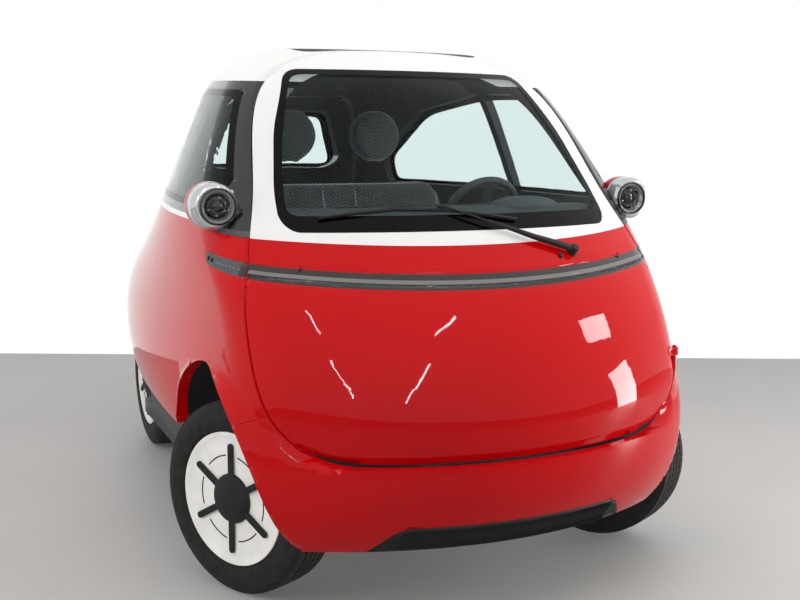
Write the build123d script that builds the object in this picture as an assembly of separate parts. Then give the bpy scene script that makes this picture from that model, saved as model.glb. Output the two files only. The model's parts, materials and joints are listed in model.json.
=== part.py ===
from build123d import *
import math
import os

# A two-seat bubble microcar with one big door across its nose. Millimetres.
# +X is the car's left, -Y is forward, +Z is up; the origin is on the ground, under the middle of the car.

# ---- overall layout ----
TYRE_RADIUS = 266.5          # 145/70 R13
TYRE_WIDTH = 145
RIM_RADIUS = 165
STEER_REST = 28              # the front wheels stand turned to the left, degrees
KINGPIN_X = 551
KINGPIN_Y = -725
SCRUB = 20                   # wheel centre outboard of the kingpin
REAR_WHEEL_X = 478
REAR_AXLE_Y = 796
SKIN = 30                    # thickness of body walls and doors
ROOF_DROP = 25               # the roof's thickness
GLASS = 5
SEAM_Y = 5.8                 # the seams' gap, along Y and along Z
SEAM_Z = 5.4
SEAT_GAP = 0.3               # between pieces that only rest on each other
RUNNING = 0.05               # radial clearance of a shaft in its bore
SPAN = 900                   # half length of a cutting prism
FAR = 1600                   # safely beyond the car

# ---- seams, side view, (y, z) ----
BELT = [(-FAR, 872), (-560, 1000), (FAR, 1000)]
SEAM_TOP = (-317, 1600)      # the door's rear edge, as one line up over the roof
SEAM_MID = (-866, 891)
SEAM_LOW = (-1097, 441)
SEAM_MID_R, SEAM_LOW_R = 600, 110
SIDE_BOTTOM = 405            # lower edge of the flanks
BUMPER_SEAM = [(-900, 490), (-1045, 562)]
PANEL_GAP = 0.8              # between fixed body panels

# ---- wheel arches: an ellipse in the side view ----
ARCH_Y, ARCH_Z, ARCH_RY, ARCH_RZ = -735, 275, 310, 365
WHEELHOUSE_X = 340           # inner wall of a wheel house
LINER = 6

# ---- glazing and covers ----
SCREEN = [(375, 1420), (452, 1250), (492, 1085), (502, 984)]       # windscreen, half front view (x, z)
SCREEN_R = [60, 400, 400, 45]
BAR_LOW, BAR_HIGH, BAR_SLOPE, BAR_Y = 848, 880, 0.15, -1050        # light bar edges where y is BAR_Y
# side window: outline of its frame and of the glass within it, side view (y, z)
FRAME = [(-860, 1012), (-560, 1380), (-60, 1398), (300, 1345), (590, 1170), (640, 1018)]
FRAME_R = [0, 0, 300, 220, 160, 25]
PANE = [(-640, 1036), (-668, 1105), (-474, 1358), (-62, 1374), (290, 1322), (568, 1156), (614, 1042)]
PANE_R = [20, 30, 40, 280, 200, 140, 20]
DIVIDER = (-105, -75)        # bar behind the pane, along Y
STRIP_REAR = -705            # rear end of the trim strip on each flank
SUNROOF = [(-300, -390), (-345, 120)]   # half of the folding roof's outline, plan view (x, y), front and rear
SUNROOF_R = 60
HATCH = [(240, 1372), (345, 1000), (420, 640)]                     # rear hatch, half rear view (x, z)
HATCH_R = [60, 250, 60]
HATCH_GAP = 6
REAR_SCREEN = [(195, 1322), (290, 1092)]
REAR_SCREEN_R = [45, 45]
REAR_BAR = (900, 930)        # height of the rear lamp bar
REAR_BUMPER_Y, REAR_BUMPER_Z, REAR_BUMPER_LOW = 980, 600, 405
WHEEL_POCKET_X, WHEEL_POCKET_R = 557, 276   # hollow in the skin round each rear tyre
GRILLE = [(290, 279), (326, 264), (385, 190)]                      # lower grille, half front view (x, z)

# ---- door hinge: a vertical pin at the car's left, low corner of the door ----
HINGE_X, HINGE_Y = 615, -1020
HINGE_PIN_R = 6
HINGE_FOOT_Z = (470, 545)    # solid foot inside the bumper
HINGE_EAR_Z = (616, 638)     # the door's ear round the pin
HINGE_EAR_R = 11

# ---- hatch hinge: two knuckles on an axis along X ----
HATCH_AXIS_Y, HATCH_AXIS_Z = 720, 1372
HATCH_PIN_R = 5
KNUCKLE_R = 10
KNUCKLE_ROOM = 16            # notch radius round a knuckle
EAR_X = (104, 116)           # the hatch's ear, with a roof cheek each side
CHEEKS_X = [(86, 98), (122, 134)]

# ---- lamps ----
LAMP_X, LAMP_Y, LAMP_Z, LAMP_R = 650, -742, 1048, 62
LENS_X, LENS_R, LENS_DEPTH = 643, 44, 20
LAMP_TAIL_Y = -590

# ---- wiper, (x, z) on the outer skin, lifted off it by a run's clearance ----
WIPER_ARM = [(290, 919), (170, 955), (45, 998), (-62, 1037)]
WIPER_BLADE = [(-403, 1015), (-320, 1026), (-200, 1036), (-60, 1033), (45, 1019), (145, 1005)]
WIPER_LIFT, WIPER_ARM_R, WIPER_BLADE_R = 16, 5, 4.5

# ---- wheels: (axial, radius), the axial distance outward from the wheel's centre ----
HUB_BORE_R = 15
BOSS_FACE = 12               # inner face of the hub boss
DISC_FACE = 61               # outer face of the wheel's flat middle
BORE_END = 58
CAP_R, CAP_TOP = 68, 80
SPOKES, SPOKE_R, SPOKE_WIDTH = 6, 152, 18
SPOKE_LIFT, SPOKE_TOP = 63.2, 69

# ---- floor and running gear ----
FLOOR_Z = (220, 270)
JACK_PADS = [(500, -280), (500, 330)]  # (x, y) of the jacking pads under the floor, the same on both sides
JACK_PAD_HALF, JACK_PAD_LOW = 35, 212
FLOOR_HALF, FLOOR_FRONT, FLOOR_REAR = 620, -440, 450
NOSE_HALF, NOSE_FRONT = 334, -1055     # narrow floor between the wheel houses
ROCKER_X, ROCKER_Z = 560, 460
BEAM_Y, BEAM_Z = (-1110, -1055), (300, 400)    # beam behind the front bumper
BEAM_HALF = 430
WEB_X, WEB_Y = (304, 330), (-770, -680)
ARM_GAP = 70                 # hub height to the near face of a fork arm
ARM_THICK = 25
ARM_HALF = 22
KINGPIN_R, KNUCKLE_BOSS_R = 12, 25
BOOT_HALF, BOOT_Z = 395, (420, 450)
TUB_TOP, TUB_WALL, TUB_REAR = 560, 6, 1100
BULKHEAD_TOP = 600
ARM_X = (300, 340)           # trailing arms

# ---- cabin ----
SEAT_HALF, SEAT_Y, SEAT_TOP = 440, (-300, 110), 600
BATTERY = (-480, 480, -250, 330, 270, 420)
SEAT_BACK = [(-20, 0), (100, 0), (190, 475), (90, 475)]            # y, and z above the cushion
HEADREST_X, HEADREST_Y, HEADREST_Z, HEADREST_R = 160, 140, 1230, 90
WHEEL_AT, WHEEL_TILT = (270, -470, 1000), 33    # steering wheel's middle, and how far its axis rises
WHEEL_RIM_R, WHEEL_TUBE_R = 115, 13
COLUMN_R = 18
COLUMN_KNEE, COLUMN_FOOT = (270, -600, 905), (270, -700, 270)
SHELF = [(-1100, 925), (-700, 925), (-700, 1035), (-760, 1035), (-860, 985), (-1100, 975)]
SHELF_HALF = 470

# ---- the body shell: one horizontal section a row ----
# z, front, rear, half_width, y_of_widest, front_bulge_r, front_corner_r, side_r, rear_corner_r, rear_bulge_r
SHELL_ROWS = [
    (330, -1150, 1080, 675, -350, 1000, 240, 7500, 220, 900),
    (480, -1235, 1215, 705, -350, 1000, 240, 7000, 225, 950),
    (660, -1200, 1258, 690, -300, 1100, 240, 6500, 245, 1000),
    (860, -1060, 1200, 678, -420, 1200, 220, 4500, 280, 1000),
    (1010, -915, 1075, 664, -480, 1200, 200, 3200, 280, 1000),
    (1200, -755, 920, 602, -480, 1100, 170, 2600, 240, 900),
    (1370, -600, 715, 520, -400, 1000, 140, 2200, 180, 800),
    (1445, -500, 540, 448, -330, 900, 120, 2000, 160, 750),
    (1490, -340, 340, 330, -200, 900, 100, 1800, 120, 700),
]
# ---- front bumper and wheel-arch flares, the same columns ----
BUMPER_ROWS = [
    (200, -1168, -50, 690, -720, 1100, 230, 1400, 200, 900),
    (360, -1259, -50, 720, -730, 1000, 270, 1300, 200, 900),
    (500, -1245, -50, 730, -730, 1000, 270, 1200, 200, 900),
    (643, -1180, -50, 680, -730, 1000, 270, 1200, 200, 900),
]
BOTTOM_EXTRA = 60            # how far the inner loft runs out below the outer one


def corner(centre_a, radius_a, centre_b, radius_b, radius, side):
    """Centre and both tangent points of a circle inside two larger circles; side picks front (-1) or rear (1)."""
    da, db = radius_a - radius, radius_b - radius
    dx, dy = centre_b[0] - centre_a[0], centre_b[1] - centre_a[1]
    apart = math.hypot(dx, dy)
    along = (da * da - db * db + apart * apart) / (2 * apart)
    off = math.sqrt(da * da - along * along)
    mx, my = centre_a[0] + along * dx / apart, centre_a[1] + along * dy / apart
    picks = [(mx + s * off * dy / apart, my - s * off * dx / apart) for s in (1, -1)]
    c = max(picks, key=lambda p: p[1] * side)
    on_a = tuple(centre_a[i] + (c[i] - centre_a[i]) * radius_a / da for i in (0, 1))
    on_b = tuple(centre_b[i] + (c[i] - centre_b[i]) * radius_b / db for i in (0, 1))
    return c, on_a, on_b


def middle(centre, radius, p, q):
    """The middle point of the short arc from p to q."""
    mx, my = (p[0] + q[0]) / 2 - centre[0], (p[1] + q[1]) / 2 - centre[1]
    scale = radius / math.hypot(mx, my)
    return centre[0] + mx * scale, centre[1] + my * scale


def section(row, inset=0.0, drop=0.0):
    """A face of eight tangent arcs at one height, inset for an inner skin."""
    z, front, rear, half, y_wide, front_r, front_c, side_r, rear_c, rear_r = row
    front, rear, half = front + inset, rear - inset, half - inset
    front_r, front_c, side_r = front_r - inset, front_c - inset, side_r - inset
    rear_c, rear_r = rear_c - inset, rear_r - inset
    nose, flank, tail = (0, front + front_r), (half - side_r, y_wide), (0, rear - rear_r)
    c1, a, b = corner(nose, front_r, flank, side_r, front_c, -1)
    c2, d, e = corner(flank, side_r, tail, rear_r, rear_c, 1)
    m1, m2, m3 = middle(c1, front_c, a, b), middle(flank, side_r, b, d), middle(c2, rear_c, d, e)

    def at(p, sign=1):
        return (sign * p[0], p[1], z - drop)

    edges = [Edge.make_three_point_arc(at(a, -1), (0, front, z - drop), at(a))]
    edges += [Edge.make_three_point_arc(at(p), at(m), at(q)) for p, m, q in ((a, m1, b), (b, m2, d), (d, m3, e))]
    edges += [Edge.make_three_point_arc(at(e), (0, rear, z - drop), at(e, -1))]
    edges += [
        Edge.make_three_point_arc(at(p, -1), at(m, -1), at(q, -1))
        for p, m, q in ((e, m3, d), (d, m2, b), (b, m1, a))
    ]
    return Face(Wire(edges))


def body_loft(rows, inset=0.0, roof_drop=0.0, extend=0.0):
    """A solid through the rows' sections. The drop grows from nothing at the belt to its whole at the roof."""
    low, high = 1000, rows[-1][0]
    faces = []
    if extend:
        faces.append(section((rows[0][0] - extend,) + rows[0][1:], inset))
    for row in rows:
        share = max(0.0, (row[0] - low) / (high - low)) if high > low else 0.0
        faces.append(section(row, inset, roof_drop * share))
    return loft(faces)


def side_prism(points, radii=None, half=SPAN, x_from=None):
    """A prism along X from an outline in the side view, given as (y, z), with its corners rounded."""
    outline = Plane.YZ * rounded(points, radii)
    return extrude(outline, amount=half, both=True)


def front_prism(points, radii, y_from, y_to):
    """A prism along Y from an outline in the front view, given as (x, z)."""
    flat = rounded(points, radii)
    plane = Plane(origin=(0, y_to, 0), x_dir=(1, 0, 0), z_dir=(0, -1, 0))
    return extrude(plane * flat, amount=y_to - y_from)


def rounded(points, radii=None):
    """A face from a closed outline, each corner with its own radius (0 for sharp)."""
    face = make_face(Polyline(*points, close=True))
    if radii:
        for (x, y), radius in zip(points, radii):
            if radius:
                at = min(face.vertices(), key=lambda v: (v.X - x) ** 2 + (v.Y - y) ** 2)
                face = fillet(at, radius)
    return face


def mirrored(points):
    """A whole outline from its half at +X, going round."""
    return list(points) + [(-x, z) for x, z in reversed(points)]


def door_zone(dy=0.0, dz=0.0):
    """All that lies in front of the door's seam; moved back and down it leaves the gap."""
    points = [SEAM_TOP, SEAM_MID, SEAM_LOW, (-FAR, SEAM_LOW[1]), (-FAR, FAR)]
    zone = side_prism(points, [0, SEAM_MID_R, SEAM_LOW_R, 0, 0])
    return Pos(0, dy, dz) * zone


def arch_prism(grow, x_near, x_far, side):
    """The elliptic wheel arch as a prism on one side of the car."""
    face = Plane.YZ * (Pos(ARCH_Y, ARCH_Z) * Ellipse(ARCH_RY + grow, ARCH_RZ + grow))
    solid = extrude(face, amount=x_far - x_near)
    return Pos(x_near if side > 0 else -x_far, 0, 0) * solid


def block(x0, x1, y0, y1, z0, z1):
    """A box from its lowest and highest corners."""
    return Pos((x0 + x1) / 2, (y0 + y1) / 2, (z0 + z1) / 2) * Box(x1 - x0, y1 - y0, z1 - z0)


def rod(start, end, radius):
    """A round bar between two points."""
    a, b = Vector(*start), Vector(*end)
    plane = Plane(origin=a, z_dir=b - a)
    return extrude(plane * Circle(radius), amount=(b - a).length)


def half_space(side):
    """All at x > 0 (side 1) or x < 0 (side -1)."""
    return block(*((0, FAR) if side > 0 else (-FAR, 0)), -FAR, FAR, -100, FAR)


parts = {}
SIDES = (("left", 1), ("right", -1))

# ---- shells ----
outer = body_loft(SHELL_ROWS)
inner = body_loft(SHELL_ROWS, SKIN, ROOF_DROP, BOTTOM_EXTRA)
cover = body_loft(SHELL_ROWS, GLASS, GLASS, BOTTOM_EXTRA)
bumper_outer = body_loft(BUMPER_ROWS)
bumper_inner = body_loft(BUMPER_ROWS, SKIN, 0, BOTTOM_EXTRA)
shell = outer - inner
glass_skin = outer - cover
bubble_zone = door_zone()
gap_zone = door_zone(SEAM_Y, -SEAM_Z)
above_belt = side_prism([*BELT, (FAR, FAR), (-FAR, FAR)])
hatch_zone = front_prism(mirrored(HATCH), HATCH_R + HATCH_R[::-1], 380, FAR)
hatch_room = front_prism(mirrored([(x + HATCH_GAP, z + HATCH_GAP * (1 if z > 800 else -1)) for x, z in HATCH]),
                         HATCH_R + HATCH_R[::-1], 380, FAR)
cavity = inner + bumper_inner
belt_bar = side_prism([(y, z + BAR_SLOPE * (y - BAR_Y)) for y, z in
                       ((-FAR, BAR_LOW), (-FAR, BAR_HIGH), (STRIP_REAR, BAR_HIGH), (STRIP_REAR, BAR_LOW))])


# ---- the door ----
screen_hole = front_prism(mirrored(SCREEN), SCREEN_R + SCREEN_R[::-1], -FAR, -200)
screen_pane = front_prism(mirrored([(x - SEAT_GAP, z - SEAT_GAP * (1 if z > 1200 else -1)) for x, z in SCREEN]),
                          SCREEN_R + SCREEN_R[::-1], -FAR, -200)
door_shell = shell & bubble_zone
door_bar = glass_skin & bubble_zone & belt_bar
ear_low, ear_high = HINGE_EAR_Z
hinge_ear = Pos(HINGE_X, HINGE_Y, ear_low) * extrude(Circle(HINGE_EAR_R), amount=ear_high - ear_low)
hinge_ear += block(HINGE_X - 55, HINGE_X, HINGE_Y - 13, HINGE_Y + 13, ear_low, ear_high)
hinge_bore = Pos(HINGE_X, HINGE_Y, 0) * extrude(Circle(HINGE_PIN_R + RUNNING), amount=FAR)
parts["door_frame"] = (door_shell & above_belt) - screen_hole
parts["door_panel"] = door_shell - above_belt - door_bar + (hinge_ear - inner) - hinge_bore
parts["windscreen"] = glass_skin & screen_pane
parts["door_light_bar"] = door_bar
parts["door_shelf"] = side_prism(SHELF, half=SHELF_HALF) & inner


def on_skin(x, z, lift):
    """A point off the front of the outer skin, by lift along its normal."""
    hits = outer.find_intersection_points(Axis((x, -FAR, z), (0, 1, 0)))
    point, normal = min(hits, key=lambda hit: hit[0].Y)
    if normal.Y > 0:
        normal = normal * -1
    return point + normal * lift


def bar_through(points, width, overlap=3):
    """Square bars from point to point, each a little longer than its run."""
    bars = []
    for a, b in zip(points, points[1:]):
        run = b - a
        plane = Plane(origin=(a + b) * 0.5, x_dir=run.cross(Vector(0, 1, 0)), z_dir=run)
        bars.append(plane * Box(width, width, run.length + overlap))
    return bars[0].fuse(*bars[1:])


arm_points = [on_skin(x, z, WIPER_LIFT) for x, z in WIPER_ARM]
blade_points = [on_skin(x, z, WIPER_LIFT - WIPER_ARM_R - 1) for x, z in WIPER_BLADE]
pivot = on_skin(*WIPER_ARM[0], -WIPER_LIFT)
wiper_boss = rod(pivot, on_skin(*WIPER_ARM[0], WIPER_LIFT + WIPER_ARM_R), 2 * WIPER_ARM_R) - outer
parts["wiper"] = wiper_boss + bar_through(arm_points, 2 * WIPER_ARM_R) + bar_through(blade_points, 2 * WIPER_BLADE_R)

# ---- the fixed body's skin ----
hull = (outer + bumper_outer) - cavity - gap_zone
arches = [arch_prism(0, WHEELHOUSE_X, FAR, side) for _, side in SIDES]
bumper_zone = side_prism([(-FAR, 0), (BUMPER_SEAM[0][0], 0), *BUMPER_SEAM, (-FAR, BUMPER_SEAM[1][1])])
lower = hull - above_belt - arches[0] - arches[1]
grille_hole = front_prism(mirrored(GRILLE), [20, 0, 0, 0, 0, 20], -FAR, -900)
front = lower & bumper_zone
foot_low, foot_high = HINGE_FOOT_Z
hinge_foot = block(HINGE_X - 35, HINGE_X + 60, HINGE_Y - 25, HINGE_Y + 22, foot_low, foot_high)
hinge_foot = ((outer + bumper_outer) & hinge_foot & bumper_zone) - gap_zone - arch_prism(LINER, NOSE_HALF, FAR, 1)
hinge_pin = rod((HINGE_X, HINGE_Y, foot_low + 20), (HINGE_X, HINGE_Y, ear_high + 5), HINGE_PIN_R)
parts["front_bumper"] = front - grille_hole + hinge_foot + hinge_pin
parts["grille"] = front & grille_hole
rear_block = block(-FAR, FAR, REAR_BUMPER_Y, FAR, REAR_BUMPER_LOW, REAR_BUMPER_Z)
rear_room = block(-FAR, FAR, REAR_BUMPER_Y - PANEL_GAP, FAR, 0, REAR_BUMPER_Z + PANEL_GAP)
pockets = [rod((side * BOOT_HALF, REAR_AXLE_Y, TYRE_RADIUS), (side * WHEEL_POCKET_X, REAR_AXLE_Y, TYRE_RADIUS),
               WHEEL_POCKET_R) for _, side in SIDES]
parts["rear_bumper"] = ((shell - hatch_room) & rear_block) - pockets[0] - pockets[1]
low_side = block(-FAR, FAR, -900, FAR, 0, SIDE_BOTTOM)
strips = ((glass_skin & belt_bar) - gap_zone) & block(-FAR, FAR, -FAR, STRIP_REAR, 0, FAR)
flanks = lower - (Pos(0, PANEL_GAP, PANEL_GAP) * bumper_zone) - low_side - hatch_room - rear_room - strips
pin_room = Pos(HINGE_X, HINGE_Y, 0) * extrude(Circle(HINGE_PIN_R + HATCH_GAP), amount=FAR)
flanks = flanks - pin_room - pockets[0] - pockets[1]
for name, side in SIDES:
    parts[f"flank_{name}"] = flanks & half_space(side)
parts["side_strips"] = strips

# ---- the side windows ----
upper = (shell & above_belt) - gap_zone - hatch_room
frame_zone = side_prism(FRAME, FRAME_R)
pane_zone = side_prism(PANE, PANE_R)
glass_zone = side_prism([(y + SEAT_GAP * (-1 if y > 0 else 1), z + SEAT_GAP * (-1 if z > 1200 else 1)) for y, z in PANE],
                        PANE_R)
divider = block(-FAR, FAR, *DIVIDER, 0, FAR)
frames = (upper & frame_zone) - pane_zone + ((cover - inner) & pane_zone & divider)
parts["window_frames"] = frames
parts["side_windows"] = glass_skin & glass_zone

# ---- roof, its folding cover, and the hatch hinge's cheeks ----
sun_points = mirrored([(-x, y) for x, y in SUNROOF])
sun_zone = Pos(0, 0, 1200) * extrude(rounded(sun_points, [SUNROOF_R] * 4), amount=600)
sunroof = glass_skin & sun_zone
hatch_axis = (HATCH_AXIS_Y, HATCH_AXIS_Z)


def along_hatch_axis(x0, x1, radius):
    """A cylinder on the hatch's axis."""
    return rod((x0, *hatch_axis), (x1, *hatch_axis), radius)


def hatch_plate(points, x0, x1):
    """A plate across the hatch's axis, its outline (y, z) relative to it, with a round eye."""
    flat = Plane.YZ * make_face(Polyline(*[(HATCH_AXIS_Y + y, HATCH_AXIS_Z + z) for y, z in points], close=True))
    return Pos(x0, 0, 0) * extrude(flat, amount=x1 - x0) + along_hatch_axis(x0, x1, KNUCKLE_R)


CHEEK = [(4, 9), (-62, 30), (-75, 8), (-8, 6)]
EAR = [(7, 7), (32, -22), (15, -44), (-9, -4)]
roof = upper - frame_zone - sunroof
hatch_shell = shell & hatch_zone
ears = []
for side in (1, -1):
    roof -= along_hatch_axis(*sorted(side * x for x in (EAR_X[0] - 6, EAR_X[1] + 6)), KNUCKLE_ROOM)
    notch = along_hatch_axis(*sorted(side * x for x in (CHEEKS_X[0][0] - 6, CHEEKS_X[1][1] + 6)), KNUCKLE_ROOM)
    hatch_shell -= notch
    for span in CHEEKS_X:
        roof += hatch_plate(CHEEK, *sorted(side * x for x in span)) - inner
    roof += along_hatch_axis(*sorted(side * x for x in (CHEEKS_X[0][0], CHEEKS_X[1][1])), HATCH_PIN_R)
    ear = hatch_plate(EAR, *sorted(side * x for x in EAR_X)) - inner
    ears.append(ear - along_hatch_axis(*sorted(side * x for x in (EAR_X[0] - 1, EAR_X[1] + 1)), HATCH_PIN_R + RUNNING))
parts["roof"] = roof
parts["sunroof"] = sunroof
screen_points = mirrored(REAR_SCREEN)
rear_hole = front_prism(screen_points, REAR_SCREEN_R * 2, 380, FAR)
rear_pane = front_prism(mirrored([(x - SEAT_GAP, z - SEAT_GAP * (1 if z > 1200 else -1)) for x, z in REAR_SCREEN]),
                        REAR_SCREEN_R * 2, 380, FAR)
rear_bar = glass_skin & hatch_zone & block(-FAR, FAR, 380, FAR, *REAR_BAR)
parts["hatch_frame"] = (hatch_shell & above_belt) - rear_hole + ears[0] + ears[1]
parts["hatch_panel"] = hatch_shell - above_belt - rear_bar
parts["rear_glass"] = glass_skin & rear_pane
parts["rear_light_bar"] = rear_bar

# ---- lamps on stalks ----
lenses = []
for name, side in SIDES:
    y0 = LAMP_Y
    profile = Polyline((0, y0), (LAMP_R - 10, y0), (LAMP_R, y0 + 14), (LAMP_R, y0 + 52))
    tail = ThreePointArc((LAMP_R, y0 + 52), (LAMP_R * 0.76, (y0 + 52 + 2 * LAMP_TAIL_Y) / 3), (0, LAMP_TAIL_Y))
    half = make_face(profile + tail + Line((0, LAMP_TAIL_Y), (0, y0)))
    pod = Pos(side * LAMP_X, 0, LAMP_Z) * revolve(half, Axis.Y)
    stalk_x = sorted((side * 530, side * LAMP_X))
    pod += block(*stalk_x, -700, -640, 1018, 1066)
    recess = rod((side * LENS_X, y0 - 1, LAMP_Z), (side * LENS_X, y0 + 14, LAMP_Z), LENS_R + SEAT_GAP)
    lens = rod((side * LENS_X, y0 + 14 - LENS_DEPTH, LAMP_Z), (side * LENS_X, y0 + 14 - SEAT_GAP, LAMP_Z), LENS_R)
    parts[f"lamp_pod_{name}"] = pod - recess - outer
    lenses.append(lens)
parts["lamp_lenses"] = Compound(children=lenses)

# ---- floor, wheel houses and boot ----
liners = []
for _, side in SIDES:
    outside = arch_prism(LINER, NOSE_HALF, FAR, side)
    inside = arch_prism(0, WHEELHOUSE_X, FAR, side)
    window = block(*sorted((side * 300, side * 400)), -765, -685, 100, 380)
    low_cut = block(-FAR, FAR, -FAR, FAR, -100, FLOOR_Z[0])
    door_room = Pos(0, HATCH_GAP, -HATCH_GAP) * gap_zone
    liners.append(((outside - inside) & cavity) - low_cut - door_room - window)
parts["wheel_houses"] = Compound(children=liners)
floor = block(-FLOOR_HALF, FLOOR_HALF, FLOOR_FRONT, FLOOR_REAR, *FLOOR_Z)
for _, side in SIDES:
    floor -= arch_prism(LINER, NOSE_HALF, FAR, side)
floor += block(-NOSE_HALF, NOSE_HALF, NOSE_FRONT, FLOOR_FRONT + 1, *FLOOR_Z)
for _, side in SIDES:
    web_x = sorted((side * WEB_X[0], side * NOSE_HALF))
    floor -= block(*web_x, *WEB_Y, *FLOOR_Z)
    rocker_x = sorted((side * ROCKER_X, side * FAR))
    floor += block(*rocker_x, -380, 420, FLOOR_Z[1], ROCKER_Z) & inner
floor += block(-BEAM_HALF, BEAM_HALF, *BEAM_Y, *BEAM_Z) & bumper_inner
floor += block(-NOSE_HALF, NOSE_HALF, -1085, NOSE_FRONT + 10, FLOOR_Z[0] + 12, BEAM_Z[0]) & bumper_inner
for side in (1, -1):
    floor += block(*sorted((side * 180, side * 260)), -FAR, BEAM_Y[0] + 5, 310, 390) & bumper_inner
for x, y in JACK_PADS + [(-x, y) for x, y in JACK_PADS]:
    floor += block(x - JACK_PAD_HALF, x + JACK_PAD_HALF, y - JACK_PAD_HALF, y + JACK_PAD_HALF, JACK_PAD_LOW, FLOOR_Z[0] + 1)
parts["floor_pan"] = floor

tub = block(-BOOT_HALF, BOOT_HALF, FLOOR_REAR, FAR, *BOOT_Z)
tub += block(-FLOOR_HALF, FLOOR_HALF, FLOOR_REAR, FLOOR_REAR + 30, FLOOR_Z[1], BULKHEAD_TOP)
for side in (1, -1):
    tub += block(*sorted((side * (BOOT_HALF - TUB_WALL), side * BOOT_HALF)), FLOOR_REAR, TUB_REAR, BOOT_Z[0], TUB_TOP)
    tub += block(*sorted((side * (BOOT_HALF - TUB_WALL), side * FAR)), FLOOR_REAR, TUB_REAR, TUB_TOP - TUB_WALL, TUB_TOP)
parts["boot_tub"] = tub & inner
parts["battery_box"] = block(*BATTERY)

# ---- front subframe and knuckles ----
HUB_Z = TYRE_RADIUS
subframe = block(-WEB_X[0], WEB_X[0], -750, -700, 190, FLOOR_Z[0])
knuckle = Pos(0, 0, -ARM_GAP + 2) * extrude(Circle(KNUCKLE_BOSS_R), amount=2 * (ARM_GAP - 2))
knuckle -= Pos(0, 0, -ARM_GAP) * extrude(Circle(KINGPIN_R + RUNNING), amount=2 * ARM_GAP)
knuckle += rod((KNUCKLE_BOSS_R - 5, 0, 0), (SCRUB + BORE_END - 2, 0, 0), HUB_BORE_R - RUNNING)
for name, side in SIDES:
    subframe += block(*sorted((side * WEB_X[0], side * WEB_X[1])), *WEB_Y, HUB_Z - ARM_GAP - ARM_THICK,
                      HUB_Z + ARM_GAP + ARM_THICK)
    for low in (HUB_Z - ARM_GAP - ARM_THICK, HUB_Z + ARM_GAP):
        subframe += block(*sorted((side * (WEB_X[1] - 1), side * KINGPIN_X)), KINGPIN_Y - ARM_HALF,
                          KINGPIN_Y + ARM_HALF, low, low + ARM_THICK)
        subframe += Pos(side * KINGPIN_X, KINGPIN_Y, low) * extrude(Circle(ARM_HALF), amount=ARM_THICK)
    subframe += rod((side * KINGPIN_X, KINGPIN_Y, HUB_Z - ARM_GAP - 5), (side * KINGPIN_X, KINGPIN_Y, HUB_Z + ARM_GAP + 5),
                    KINGPIN_R)
    turned = Rot(0, 0, STEER_REST if side > 0 else 180 + STEER_REST)
    parts[f"knuckle_{name}"] = Pos(side * KINGPIN_X, KINGPIN_Y, HUB_Z) * turned * knuckle
parts["front_subframe"] = subframe

# ---- rear axle and motor ----
axle_end = REAR_WHEEL_X + BOSS_FACE - 7
axle = rod((-axle_end, REAR_AXLE_Y, HUB_Z), (axle_end, REAR_AXLE_Y, HUB_Z), KNUCKLE_BOSS_R)
pin_end = REAR_WHEEL_X + BORE_END - 2
axle += rod((-pin_end, REAR_AXLE_Y, HUB_Z), (pin_end, REAR_AXLE_Y, HUB_Z), HUB_BORE_R - RUNNING)
for side in (1, -1):
    axle += block(*sorted((side * ARM_X[0], side * ARM_X[1])), FLOOR_REAR, REAR_AXLE_Y, 240, FLOOR_Z[1])
    axle += rod((side * 320, REAR_AXLE_Y, HUB_Z), (side * 320, REAR_AXLE_Y, BOOT_Z[0]), 20)
parts["rear_axle"] = axle
parts["drive_motor"] = block(-150, 150, 540, REAR_AXLE_Y - KNUCKLE_BOSS_R, 190, BOOT_Z[0])

# ---- wheels ----
side_a, tread_a = TYRE_WIDTH / 2, 48
tyre_lines = Polyline((side_a - 10.5, 184), (side_a - 15.5, RIM_RADIUS + 0.2), (15.5 - side_a, RIM_RADIUS + 0.2), (10.5 - side_a, 184))
tyre_curves = [ThreePointArc((s * (side_a - 10.5), 184), (s * side_a, 217), (s * (side_a - 11), 255)) for s in (1, -1)]
tyre_curves += [ThreePointArc((s * (side_a - 11), 255), (s * (side_a - 15), 261.5), (s * tread_a, 264.6)) for s in (1, -1)]
tyre_curves += [ThreePointArc((-tread_a, 264.6), (0, TYRE_RADIUS), (tread_a, 264.6))]
tyre = revolve(make_face([tyre_lines] + tyre_curves), Axis.X)
wheel_outline = [(DISC_FACE, 0), (DISC_FACE, 75), (63, 160), (68, 176), (68, 182.5), (63, 182.5), (63, RIM_RADIUS),
                 (-62, RIM_RADIUS), (-62, 172), (-66, 172), (-66, 152), (50, 152), (54, 140), (54, 60), (52, 30),
                 (BOSS_FACE, 30), (BOSS_FACE, HUB_BORE_R), (BORE_END, HUB_BORE_R), (BORE_END, 0)]
wheel = revolve(make_face(Polyline(*wheel_outline, close=True)), Axis.X)
dome = make_face([Line((DISC_FACE, 0), (DISC_FACE, CAP_R)),
                  ThreePointArc((DISC_FACE, CAP_R), (CAP_TOP - 11, CAP_R - 3), (CAP_TOP - 7, CAP_R - 10)),
                  ThreePointArc((CAP_TOP - 7, CAP_R - 10), (CAP_TOP - 1.8, CAP_R / 2), (CAP_TOP, 12)),
                  Line((CAP_TOP, 12), (CAP_TOP, 0)),
                  Line((CAP_TOP, 0), (DISC_FACE, 0))])
star = Circle(CAP_R - 8)
for n in range(SPOKES):
    bar = RectangleRounded(SPOKE_WIDTH, SPOKE_R - CAP_R + 15, SPOKE_WIDTH / 2 - 0.5)
    star += Rot(0, 0, n * 360 / SPOKES) * Pos(0, (SPOKE_R + CAP_R - 15) / 2) * bar
star = Pos(SPOKE_LIFT, 0, 0) * extrude(Plane.YZ * star, amount=SPOKE_TOP - SPOKE_LIFT)
cap = revolve(dome, Axis.X) + star
turn = math.radians(STEER_REST)
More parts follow.
